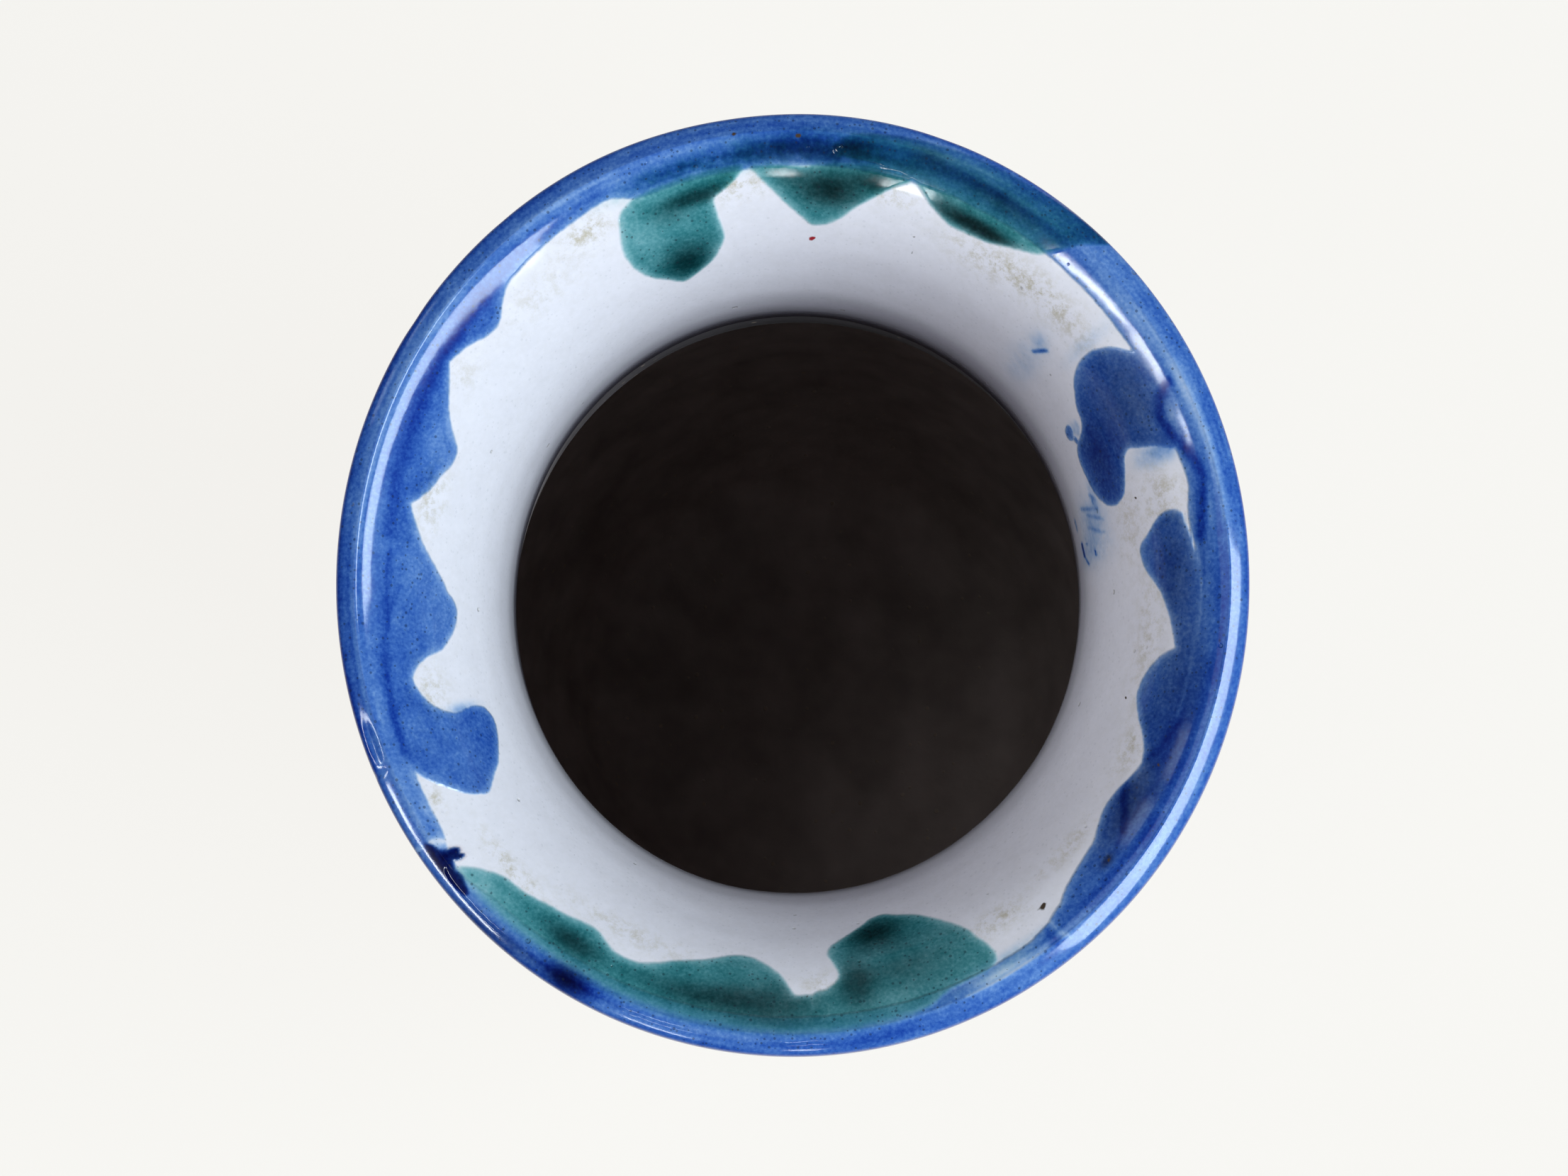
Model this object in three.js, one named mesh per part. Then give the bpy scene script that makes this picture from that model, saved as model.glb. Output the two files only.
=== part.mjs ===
// A hand-thrown earthenware vase with a short neck that flares into a wide, rolled mouth.
// The clay is three pieces luted together with slip: a turned foot ring, the body with its floor, and
// the flared neck, whose tongue sits in a groove round the body's collar. Three coats of glaze are fused
// on it: blue over the lip, white down the inside of the mouth, and white over the outside. The inside
// below the throat, the foot and a strip above it stay bare clay.
// Millimetres. +Z is up, and the origin is the centre of the circle that the foot stands on.

import * as THREE from "three";

// Overall sizes, measured over the glaze. Radii are means, because the pot is slightly oval.
const height = 205;
const mouthRadius = 55;
const throatRadius = 36.1;
const throatDepth = 30;
const bellyRadius = 57;
const bellyHeight = 92;

// The lip is a round bead, and the flare leaves it at this slope below level.
const lipThickness = 5.2;
const lipSlope = 26;

// Clay walls
const neckWall = 6;
const bodyWall = 6.5;
const floorThickness = 8;

// The tongue under the neck, and the groove in the body's collar that it fills
const tongueDepth = 3;
const tongueWidth = 2.4;
const tongueTaper = 0.5;

// The foot ring
const footRadius = 37;
const footHeight = 7;
const footWidth = 7.5;
const footTaper = 1;
const footRounding = 1.2;

// The glaze. Lengths are measured along the clay's surface.
const glazeThickness = 0.5;
const blueInsideLip = 8;
const blueOutsideLip = 9;
const liningPastThroat = 6;
const bareAboveFoot = 5;

// The mouth went oval when the wet pot was lifted off the wheel. It is longer along Y by this much.
const mouthOval = 2;

// Facets round the axis, and along each stretch of the section
const facetsRound = 44;
const facetsFlare = 8;
const facetsLip = 7;
const facetsShoulder = 8;
const facetsBowl = 8;
const facetsCorner = 4;

const radians = THREE.MathUtils.degToRad;
const between = THREE.MathUtils.lerp;

function point(radius, z) {
  return new THREE.Vector2(radius, z);
}

// Where the parts of the section lie. Points of a section are (radius, height).

const throatHeight = height - throatDepth;
const neckInside = throatRadius + glazeThickness;
const neckOutside = neckInside + neckWall;
const bellyOutside = bellyRadius - glazeThickness;
const floorHeight = footHeight + floorThickness;
const beadRadius = lipThickness / 2 - glazeThickness;
const beadCentre = point(mouthRadius - lipThickness / 2, height - lipThickness / 2);

function onBead(degrees) {
  const angle = radians(degrees);
  return point(
    beadCentre.x + beadRadius * Math.cos(angle),
    beadCentre.y + beadRadius * Math.sin(angle),
  );
}

// The lip's round bead, from the flare's outside over the top to its inside
function lipBead() {
  const points = [];
  for (let i = 0; i <= facetsLip; i++) {
    points.push(onBead(between(lipSlope - 90, lipSlope + 90, i / facetsLip)));
  }
  return points;
}

// The flare inside the mouth is part of an ellipse: it leaves the bead at lipSlope and is upright at the
// throat. With across and drop the width and height of the stretch, an ellipse that starts at an angle
// whose sine is s has the slope (drop / across) * s / (1 + s) there, which gives s.
function flareInside() {
  const start = onBead(90 + lipSlope);
  const across = start.x - neckInside;
  const drop = start.y - throatHeight;
  const share = (Math.tan(radians(lipSlope)) * across) / drop;
  const firstSine = share / (1 - share);
  const firstAngle = Math.asin(firstSine);
  const halfWidth = across / (1 - firstSine);
  const halfHeight = drop / Math.cos(firstAngle);
  const points = [];
  for (let i = 0; i <= facetsFlare; i++) {
    const angle = between(firstAngle, Math.PI / 2, i / facetsFlare);
    points.push(
      point(
        neckInside + halfWidth * (1 - Math.sin(angle)),
        throatHeight + halfHeight * Math.cos(angle),
      ),
    );
  }
  return points;
}

// Moves each point of a curve square to it, by a distance given for its share of the way along.
// A positive distance goes to the right of travel.
function offset(points, distanceAt) {
  const last = points.length - 1;
  return points.map((at, i) => {
    const ahead = points[Math.min(i + 1, last)];
    const behind = points[Math.max(i - 1, 0)];
    const along = ahead.clone().sub(behind).normalize();
    const distance = distanceAt(i / last);
    return point(at.x + along.y * distance, at.y - along.x * distance);
  });
}

function bezier(from, firstHandle, secondHandle, to, facets) {
  return new THREE.CubicBezierCurve(from, firstHandle, secondHandle, to).getPoints(facets);
}

// From the foot ring out to the belly, upright there
function bowlOutside() {
  const across = bellyOutside - footRadius;
  const rise = bellyHeight - footHeight;
  return bezier(
    point(footRadius, footHeight),
    point(footRadius + 0.55 * across, footHeight + 0.25 * rise),
    point(bellyOutside, bellyHeight - 0.45 * rise),
    point(bellyOutside, bellyHeight),
    facetsBowl,
  );
}

// From the belly in to the neck, upright at both ends
function shoulderOutside() {
  const rise = throatHeight - bellyHeight;
  return bezier(
    point(bellyOutside, bellyHeight),
    point(bellyOutside, bellyHeight + 0.5 * rise),
    point(neckOutside, throatHeight - 0.45 * rise),
    point(neckOutside, throatHeight),
    facetsShoulder,
  );
}

// The flare outside keeps a wall that thins from the neck to the bead.
function flareOutside(inside) {
  const points = offset(inside, (share) => -between(2 * beadRadius, neckWall, share));
  points[0] = onBead(lipSlope - 90);
  points[points.length - 1] = point(neckOutside, throatHeight);
  return points.reverse();
}

// The shoulder and the bowl inside, a wall's thickness in
function shoulderInside(outside) {
  const points = offset(outside, (share) => -between(bodyWall, neckWall, share));
  points[0] = point(bellyOutside - bodyWall, bellyHeight);
  points[points.length - 1] = point(neckInside, throatHeight);
  return points.reverse();
}

function bowlInside(outside) {
  const wall = offset(outside, () => -bodyWall)
    .filter((at) => at.y > floorHeight + bodyWall)
    .reverse();
  wall[0] = point(bellyOutside - bodyWall, bellyHeight);
  const end = wall[wall.length - 1];
  const slant = end.clone().sub(wall[wall.length - 2]).normalize();
  const run = (end.y - floorHeight) / -slant.y;
  const corner = point(end.x + slant.x * run, floorHeight);
  const flat = point(corner.x - run, floorHeight);
  const turn = new THREE.QuadraticBezierCurve(end, corner, flat).getPoints(facetsCorner);
  return [...wall, ...turn.slice(1), point(0, floorHeight)];
}

function joined(...stretches) {
  return stretches.reduce((all, stretch) => [...all, ...stretch.slice(1)]);
}

// The length along a section up to each of its points
function lengthsAlong(points) {
  let total = 0;
  return points.map((at, i) => {
    total += i ? at.distanceTo(points[i - 1]) : 0;
    return total;
  });
}

function lengthOf(points) {
  return lengthsAlong(points).pop();
}

// The clay's whole section: from the foot ring up the outside, over the lip, down the inside to the axis.
// The free surface is on the right all the way.
const outerWall = joined(bowlOutside(), shoulderOutside());
const flareIn = flareInside();
const toLip = joined(outerWall, flareOutside(flareIn));
const overLip = joined(toLip, lipBead());
const toThroat = joined(overLip, flareIn);
const whole = joined(toThroat, shoulderInside(shoulderOutside()), bowlInside(bowlOutside()));

// Lengths along it at which one piece ends and another starts
const neckFoot = lengthOf(outerWall);
const throat = lengthOf(toThroat);
const lipTop = lengthOf(toLip) + beadRadius * radians(180 - lipSlope);
const blueStart = lipTop - blueOutsideLip;
const blueEnd = lipTop + blueInsideLip;
const liningEnd = throat + liningPastThroat;
const ends = [bareAboveFoot, neckFoot, blueStart, blueEnd, throat, liningEnd];

// Puts a point of the section at each of those lengths, so that the pieces share their edges there.
const same = 0.001;
function sectionWith(points, wanted) {
  const lengths = lengthsAlong(points);
  const marked = points.map((at, i) => ({ at, length: lengths[i] }));
  for (const length of wanted) {
    const next = marked.findIndex((mark) => mark.length > length - same);
    if (marked[next].length > length + same) {
      const before = marked[next - 1];
      const share = (length - before.length) / (marked[next].length - before.length);
      marked.splice(next, 0, { at: before.at.clone().lerp(marked[next].at, share), length });
    }
  }
  return marked;
}

const section = sectionWith(whole, ends);
const surface = offset(section.map((mark) => mark.at), () => glazeThickness);

// The clay's own section between two lengths, and the glaze's outer face over it
function clayBetween(from, to) {
  return section
    .filter((mark) => mark.length > from - same && mark.length < to + same)
    .map((mark) => mark.at);
}

function glazeBetween(from, to) {
  return surface.filter((at, i) => section[i].length > from - same && section[i].length < to + same);
}

// How far the pot is out of round at a height: not at all at the foot, fully from the throat up
function ovalShare(z) {
  return (mouthOval / (2 * mouthRadius)) * THREE.MathUtils.smoothstep(z, 0, throatHeight);
}

// Splits each facet of a turned solid along the same diagonal whichever way its section runs. Two pieces
// that share a stretch of section, walked opposite ways, then meet face to face.
function matchDiagonals(geometry, points) {
  const index = [];
  for (let column = 0; column < facetsRound; column++) {
    for (let row = 0; row < points.length - 1; row++) {
      const a = column * points.length + row;
      const b = a + points.length;
      const c = b + 1;
      const d = a + 1;
      const rise = points[row + 1].y - points[row].y || points[row + 1].x - points[row].x;
      index.push(...(rise > 0 ? [a, b, d, c, d, b] : [a, b, c, a, c, d]));
    }
  }
  geometry.setIndex(index);
}

// A solid of revolution round Z from the points of a closed section, then pressed oval
function turned(points) {
  const closed = [...points, points[0]];
  const geometry = new THREE.LatheGeometry(closed, facetsRound);
  matchDiagonals(geometry, closed);
  geometry.rotateX(Math.PI / 2);
  const position = geometry.getAttribute("position");
  for (let i = 0; i < position.count; i++) {
    const angle = Math.atan2(position.getY(i), position.getX(i));
    const scale = 1 - ovalShare(position.getZ(i)) * Math.cos(2 * angle);
    position.setX(i, position.getX(i) * scale);
    position.setY(i, position.getY(i) * scale);
  }
  geometry.computeVertexNormals();
  return geometry;
}

// The luting joint between neck and body, from the outside in: the tongue's four corners
function tongue() {
  const middle = (neckInside + neckOutside) / 2;
  const tip = throatHeight - tongueDepth;
  return [
    point(middle + tongueWidth / 2, throatHeight),
    point(middle + tongueWidth / 2 - tongueTaper, tip),
    point(middle - tongueWidth / 2 + tongueTaper, tip),
    point(middle - tongueWidth / 2, throatHeight),
  ];
}

function footRing() {
  const inside = footRadius - footWidth;
  const standing = footRadius - footTaper;
  return turned([
    point(inside + footTaper, 0),
    point(standing - footRounding, 0),
    point(standing - 0.3 * footRounding, 0.3 * footRounding),
    point(standing, footRounding),
    point(footRadius, footHeight),
    point(inside, footHeight),
    point(inside, footRounding),
  ]);
}

function body() {
  const outside = clayBetween(0, neckFoot);
  const inside = clayBetween(throat, Infinity);
  return turned([...outside, ...tongue(), ...inside, point(0, footHeight)]);
}

function neck() {
  return turned([...clayBetween(neckFoot, throat), ...tongue().reverse()]);
}

function glaze(from, to) {
  return turned([...glazeBetween(from, to), ...clayBetween(from, to).reverse()]);
}

const clay = new THREE.MeshStandardMaterial({ color: 0xb4764f, roughness: 0.9, metalness: 0 });
const whiteGlaze = new THREE.MeshStandardMaterial({ color: 0xe6e8ee, roughness: 0.2, metalness: 0 });
const blueGlaze = new THREE.MeshStandardMaterial({ color: 0x2450b0, roughness: 0.12, metalness: 0 });

function piece(name, geometry, material) {
  const mesh = new THREE.Mesh(geometry, material);
  mesh.name = name;
  return mesh;
}

const vase = new THREE.Group();
vase.add(
  piece("foot_ring", footRing(), clay),
  piece("body", body(), clay),
  piece("neck", neck(), clay),
  piece("lip_glaze", glaze(blueStart, blueEnd), blueGlaze),
  piece("mouth_glaze", glaze(blueEnd, liningEnd), whiteGlaze),
  piece("outer_glaze", glaze(bareAboveFoot, blueStart), whiteGlaze),
);

export default vase;
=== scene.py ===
# %% [markdown]
# # A painted ceramic vase, looked at from above
# The real object is an earthenware vase, thrown on a wheel, with a short neck that flares into a wide
# mouth with a rolled lip. It is glazed white, and blue and green were brushed over the lip by hand.
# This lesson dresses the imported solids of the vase. The solids give the frame: every piece below lies
# where its solid lies, in the same metres, and hides it.

# %% Load the solids as the fixed frame
import math
import bpy
import numpy as np
from mathutils import Matrix, Vector


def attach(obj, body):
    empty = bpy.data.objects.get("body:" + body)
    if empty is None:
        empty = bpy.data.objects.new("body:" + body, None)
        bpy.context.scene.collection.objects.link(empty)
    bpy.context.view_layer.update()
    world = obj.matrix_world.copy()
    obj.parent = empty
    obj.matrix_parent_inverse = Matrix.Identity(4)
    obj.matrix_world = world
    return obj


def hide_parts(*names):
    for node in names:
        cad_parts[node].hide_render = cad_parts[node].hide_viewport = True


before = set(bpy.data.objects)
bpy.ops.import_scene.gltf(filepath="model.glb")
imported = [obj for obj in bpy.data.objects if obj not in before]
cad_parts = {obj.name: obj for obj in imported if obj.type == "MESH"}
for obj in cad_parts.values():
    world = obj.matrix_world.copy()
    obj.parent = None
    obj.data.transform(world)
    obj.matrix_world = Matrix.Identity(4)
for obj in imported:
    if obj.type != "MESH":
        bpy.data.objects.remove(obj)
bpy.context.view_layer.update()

print("solids:", sorted(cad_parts))

# %% [markdown]
# ## Sizes
# A potter's drawing of a thrown pot is one section, turned round the axis. These are the sizes of that
# section, in millimetres, as they are in the solids. Radii are measured over the glaze unless the name
# says clay, and the pot is a little oval, so each one is the mean of the long way and the short way.

# %% Sizes of the section, in millimetres
MM = 0.001
HEIGHT = 205.0
MOUTH_RADIUS = 55.0
THROAT_RADIUS = 36.1
THROAT_DEPTH = 30.0
BELLY_RADIUS = 57.0
BELLY_HEIGHT = 92.0
LIP_THICKNESS = 5.2
LIP_SLOPE = math.radians(26.0)
NECK_WALL = 6.0
BODY_WALL = 6.5
FLOOR_THICKNESS = 8.0
FOOT_RADIUS = 37.0
FOOT_HEIGHT = 7.0
FOOT_WIDTH = 7.5
GLAZE = 0.5
BARE_ABOVE_FOOT = 5.0
BLUE_INSIDE_LIP = 8.0
BLUE_OUTSIDE_LIP = 9.0
LINING_PAST_THROAT = 6.0
MOUTH_OVAL = 2.0

THROAT_HEIGHT = HEIGHT - THROAT_DEPTH
NECK_INSIDE = THROAT_RADIUS + GLAZE
NECK_OUTSIDE = NECK_INSIDE + NECK_WALL
BELLY_OUTSIDE = BELLY_RADIUS - GLAZE
FLOOR_HEIGHT = FOOT_HEIGHT + FLOOR_THICKNESS
BEAD_CLAY = LIP_THICKNESS / 2 - GLAZE
BEAD_CENTRE = np.array([MOUTH_RADIUS - LIP_THICKNESS / 2, HEIGHT - LIP_THICKNESS / 2])
print("throat at", THROAT_HEIGHT, "mm, neck from", NECK_INSIDE, "to", NECK_OUTSIDE, "mm in radius")

# %% [markdown]
# ## The section as curves
# The wall of a thrown pot has no straight lines, so each stretch is a curve: Beziers for the bowl and the
# shoulder, a round bead for the lip and part of an ellipse for the flare inside the mouth. A Spin modifier
# could turn such a section, but then the hand-made unevenness and the brush marks would need a second tool.
# Here the section is kept as two dense rows of points instead: the clay, and the face of the glaze over it.

# %% Curve helpers
def bezier(start, first_handle, second_handle, end, count=3000):
    """Cubic Bezier: the four points weighted by (1-t)^3, 3t(1-t)^2, 3t^2(1-t) and t^3."""
    t = np.linspace(0.0, 1.0, count)[:, None]
    corners = [np.asarray(corner, float) for corner in (start, first_handle, second_handle, end)]
    weights = [(1 - t) ** 3, 3 * t * (1 - t) ** 2, 3 * t**2 * (1 - t), t**3]
    return sum(weight * corner for weight, corner in zip(weights, corners))


def right_of_travel(curve):
    """The unit direction square to a curve, on its right: its tangent (dx, dy) turned to (dy, -dx)."""
    tangent = np.gradient(curve, axis=0)
    tangent /= np.linalg.norm(tangent, axis=1, keepdims=True)
    return np.stack([tangent[:, 1], -tangent[:, 0]], axis=1)


def moved_right(curve, distance):
    """A curve moved square to itself by a distance, one number or one for each point."""
    return curve + right_of_travel(curve) * np.reshape(distance, (-1, 1))


def lengths_along(curve):
    """The running total of the straight steps from point to point."""
    steps = np.linalg.norm(np.diff(curve, axis=0), axis=1)
    return np.concatenate([[0.0], np.cumsum(steps)])


# %% The bead of the lip and the flare inside it
def lip_bead(count=2400):
    """A circle's arc round the bead's centre, from under the lip outside, over the top, to the flare."""
    angle = np.linspace(LIP_SLOPE - math.pi / 2, LIP_SLOPE + math.pi / 2, count)
    return BEAD_CENTRE + BEAD_CLAY * np.stack([np.cos(angle), np.sin(angle)], axis=1)


def flare_inside(count=6000):
    """Part of an ellipse that leaves the bead at the lip's slope and is upright at the throat. With s the
    sine of its first angle, the slope there is (drop / across) * s / (1 + s), which gives s."""
    start = lip_bead()[-1]
    across = start[0] - NECK_INSIDE
    drop = start[1] - THROAT_HEIGHT
    share = math.tan(LIP_SLOPE) * across / drop
    first_sine = share / (1 - share)
    first_angle = math.asin(first_sine)
    angle = np.linspace(first_angle, math.pi / 2, count)
    radius = NECK_INSIDE + across / (1 - first_sine) * (1 - np.sin(angle))
    height = THROAT_HEIGHT + drop / math.cos(first_angle) * np.cos(angle)
    return np.stack([radius, height], axis=1)


# %% The walls below the flare
def bowl_outside():
    """From the foot ring out to the belly, where it is upright."""
    across = BELLY_OUTSIDE - FOOT_RADIUS
    rise = BELLY_HEIGHT - FOOT_HEIGHT
    first = (FOOT_RADIUS + 0.55 * across, FOOT_HEIGHT + 0.25 * rise)
    second = (BELLY_OUTSIDE, BELLY_HEIGHT - 0.45 * rise)
    return bezier((FOOT_RADIUS, FOOT_HEIGHT), first, second, (BELLY_OUTSIDE, BELLY_HEIGHT), 8000)


def shoulder_outside():
    """From the belly in to the neck, upright at both ends."""
    rise = THROAT_HEIGHT - BELLY_HEIGHT
    first = (BELLY_OUTSIDE, BELLY_HEIGHT + 0.5 * rise)
    second = (NECK_OUTSIDE, THROAT_HEIGHT - 0.45 * rise)
    return bezier((BELLY_OUTSIDE, BELLY_HEIGHT), first, second, (NECK_OUTSIDE, THROAT_HEIGHT), 8000)


def bowl_inside():
    """The bowl a wall's thickness in, then a rounded corner and the flat floor to the axis."""
    wall = moved_right(bowl_outside(), -BODY_WALL)
    wall = wall[wall[:, 1] > FLOOR_HEIGHT + BODY_WALL][::-1]
    end, slant = wall[-1], wall[-1] - wall[-2]
    slant = slant / np.linalg.norm(slant)
    run = (end[1] - FLOOR_HEIGHT) / -slant[1]
    corner = end + slant * run
    flat = corner - (run, 0.0)
    turn = bezier(end, end + (corner - end) * 2 / 3, flat + (corner - flat) * 2 / 3, flat)
    floor = np.linspace(flat, (0.0, FLOOR_HEIGHT), 2000)
    return np.concatenate([wall, turn[1:], floor[1:]])


# %% The whole section, from the foot ring over the lip to the middle of the floor
flare = flare_inside()
along_flare = np.linspace(0.0, 1.0, len(flare))
flare_back = moved_right(flare, -(2 * BEAD_CLAY + (NECK_WALL - 2 * BEAD_CLAY) * along_flare))[::-1]
shoulder = shoulder_outside()
along_shoulder = np.linspace(0.0, 1.0, len(shoulder))
shoulder_in = moved_right(shoulder, -(BODY_WALL + (NECK_WALL - BODY_WALL) * along_shoulder))[::-1]

stretches = [bowl_outside(), shoulder, flare_back, lip_bead(), flare, shoulder_in, bowl_inside()]
clay = np.concatenate([stretches[0]] + [stretch[1:] for stretch in stretches[1:]])
outward = right_of_travel(clay)
face = clay + outward * GLAZE
ends = np.cumsum([lengths_along(stretch)[-1] for stretch in stretches])
clay_length = lengths_along(clay)
print("the section is", round(float(clay_length[-1])), "mm long, in", len(clay), "points")

# %% [markdown]
# Places along the section are given by one number, s: millimetres along the face of the glaze, counted
# inwards from the outermost edge of the lip. So s = 0 is the edge seen from above, s = 4 is the crest of the
# lip, s = 40 is the throat, and negative numbers are on the outside of the pot.

# %% Lengths along the glaze's face, and where each coat ends
crest_length = ends[2] + BEAD_CLAY * (math.pi - LIP_SLOPE)
edge_index = int(np.argmin(np.abs(clay_length - (crest_length - BEAD_CLAY * math.pi / 2))))
face_length = lengths_along(face)
face_length -= face_length[edge_index]


def s_at(length):
    """The place s of a point given by its length along the clay."""
    return float(np.interp(length, clay_length, face_length))


S_GLAZE_FOOT = s_at(BARE_ABOVE_FOOT)
S_NECK_FOOT = s_at(ends[1])
S_BLUE_OUT = s_at(crest_length - BLUE_OUTSIDE_LIP)
S_BLUE_IN = s_at(crest_length + BLUE_INSIDE_LIP)
S_THROAT = s_at(ends[4])
S_LINING = s_at(ends[4] + LINING_PAST_THROAT)
S_FOOT = float(face_length[0])
S_FLOOR = float(face_length[-1])
print("coats meet at s =", [round(s, 1) for s in (S_GLAZE_FOOT, S_BLUE_OUT, S_BLUE_IN, S_THROAT, S_LINING)])

# %% [markdown]
# ## The hand in the shape
# A perfect surface of revolution looks like plastic. The real lip was pressed with a finger: it has a flat
# outside its crest, a ridge, a narrow groove and a second flat that runs out into the flare. The wall keeps
# shallow throwing rings and soft dents. All of that is a relief: a distance square to the section.

# %% Smooth unevenness from a table of random numbers
def smooth_step(value):
    """0 below 0, 1 above 1, and 3t^2 - 2t^3 between."""
    t = np.clip(value, 0.0, 1.0)
    return t * t * (3 - 2 * t)


def unevenness(angle, s, cells_round, cell_length, seed):
    """Value noise on the unrolled pot, from -1 to 1: random numbers at the crossings of a grid that closes
    round the axis, blended in each cell by smooth steps. Long cells give streaks, square ones give dents."""
    table = np.random.default_rng(seed).uniform(-1.0, 1.0, (cells_round, 1024))
    u = np.mod(angle, 2 * math.pi) / (2 * math.pi) * cells_round
    v = s / cell_length + 700.0
    column = np.floor(u).astype(int)
    row = np.floor(v).astype(int)
    blend_u = smooth_step(u - column)
    blend_v = smooth_step(v - row)
    near = table[column % cells_round, row % 1024] * (1 - blend_u)
    near = near + table[(column + 1) % cells_round, row % 1024] * blend_u
    far = table[column % cells_round, (row + 1) % 1024] * (1 - blend_u)
    far = far + table[(column + 1) % cells_round, (row + 1) % 1024] * blend_u
    return near * (1 - blend_v) + far * blend_v


def hump(value, centre, width):
    """A bell curve of height 1: e to the power of minus the squared distance over the width."""
    return np.exp(-(((value - centre) / width) ** 2))


def angle_gap(angle, degrees):
    """How far an angle is from one in degrees, the short way round, in radians."""
    return np.mod(angle - math.radians(degrees) + math.pi, 2 * math.pi) - math.pi


# %% The relief
# Small knocks and drips at the outer edge of the lip: degrees, s, depth, width round, width across (mm)
EDGE_MARKS = [
    (71.0, 0.1, -0.25, 1.6, 0.7),
    (81.5, 0.2, -0.12, 2.2, 0.6),
    (98.0, 0.0, -0.12, 1.4, 0.8),
    (128.6, 0.1, -0.25, 1.2, 0.7),
    (145.4, 0.0, -0.32, 1.5, 0.9),
]
# Soft dents that left the glaze whole, the widest where a finger pressed the far side: the same five numbers
EDGE_DENTS = [
    (97.0, 0.4, -0.20, 12.0, 1.8),
    (201.5, 2.7, -0.12, 2.4, 0.7),
    (205.3, 1.6, -0.10, 0.5, 1.2),
]


# Where the lip faces at places along it: pairs of s and the degrees it leans out from straight up
LIP_LEANS = [
    (0.2, 84.6), (0.7, 81.0), (1.1, 77.0), (1.35, 66.0), (1.6, 43.5), (1.85, 31.5), (2.1, 27.5), (2.5, 25.0),
    (2.9, 23.0), (3.3, 21.5), (3.7, 20.0), (4.02, 18.5), (4.12, -6.0), (4.22, -26.0), (4.32, -27.0),
    (4.45, -22.0), (4.75, -21.0), (5.0, -25.3), (5.3, -27.0), (5.75, -29.4), (6.1, -31.0), (6.45, -32.3),
    (6.8, -32.6), (7.4, -33.3), (8.0, -34.0), (8.6, -34.4), (9.4, -35.0), (10.5, -37.8), (12.0, -42.8),
]


def lip_profile():
    """The relief that gives these leans: the running sum of the tangent of the lean over the even lean."""
    places, leans = np.array(LIP_LEANS).T
    s = np.linspace(places[0], places[-1], 900)
    even = np.arctan2(np.interp(s, face_length, outward[:, 0]), np.interp(s, face_length, outward[:, 1]))
    rise = np.cumsum(np.tan(np.radians(np.interp(s, places, leans)) - even)) * (s[1] - s[0])
    return s, rise


LIP_PLACES, LIP_RISE = lip_profile()


def lip_shape(s):
    """The lip's own form over a round bead, fading out along the flare and down the outside."""
    fading = smooth_step((s + 3.0) / 3.0) * (1 - smooth_step((s - 10.0) / 20.0))
    return np.interp(s, LIP_PLACES, LIP_RISE) * fading


def relief(angle, s):
    """Millimetres off the even face: lip form, throwing rings that climb once a turn, soft dents,
    knocks, and glaze that ran thick at the throat on the near side."""
    inside = smooth_step((s - 12.0) / 8.0) * (1 - smooth_step((s - 90.0) / 60.0))
    below = smooth_step((s - S_LINING + 4.0) / 8.0)
    outside = smooth_step((-s - 8.0) / 8.0)
    turn = angle / (2 * math.pi)
    rings = 0.012 * np.sin(2 * math.pi * (s / 5.3 + turn)) * inside
    rings = rings + 0.12 * np.sin(2 * math.pi * (s / 7.5 + turn)) * below
    rings = rings + 0.06 * np.sin(2 * math.pi * (s / 6.1 - turn)) * outside
    dents = 0.06 * unevenness(angle, s, 13, 21.0, 3) + 0.03 * unevenness(angle, s, 34, 8.0, 4)
    thick = 0.45 * hump(angle_gap(angle, 285.0), 0.0, 0.95) * smooth_step((s - 20.0) / 18.0)
    thick = thick * (1 - smooth_step((s - S_THROAT) / 6.0))
    knocks = 0.0
    for degrees, place, depth, width, across in EDGE_MARKS + EDGE_DENTS:
        knocks = knocks + depth * hump(angle_gap(angle, degrees) * MOUTH_RADIUS, 0.0, width) * hump(s, place, across)
    return lip_shape(s) + rings + dents * (0.35 + 0.65 * inside + 0.65 * outside) + thick - 0.06 + knocks


# %% [markdown]
# ## The pot as a function of two numbers
# Everything below asks one function where a point is: `pot(angle, s, depth)`. The angle runs round the axis,
# from +X towards +Y, s runs along the section, and depth is how far under the glaze's face the point lies.
# The mouth is pressed a little oval, and the foot is round.

# %% The pot's surface
OVAL = MOUTH_OVAL / (2 * MOUTH_RADIUS)


def section_at(s, depth):
    """Radius and height of the section at s, that far under the glaze's face."""
    radius = np.interp(s, face_length, face[:, 0]) - depth * np.interp(s, face_length, outward[:, 0])
    height = np.interp(s, face_length, face[:, 1]) - depth * np.interp(s, face_length, outward[:, 1])
    return radius, height


def pressed(angle, radius, height):
    """Points in metres: a circle pressed oval by a share that grows from none at the foot to all at the
    throat, less along X and more along Y."""
    share = OVAL * smooth_step(height / THROAT_HEIGHT)
    radius = np.maximum(radius, 0.0) * (1 - share * np.cos(2 * angle))
    return np.stack([radius * np.cos(angle), radius * np.sin(angle), height], axis=-1) * MM


def pot(angle, s, depth=0.0, relief_share=1.0):
    """The point of the pot at an angle and a place s: the section's point, moved out by the relief."""
    radius, height = section_at(s, depth - relief_share * relief(angle, s))
    return pressed(angle, radius, height)


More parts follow.
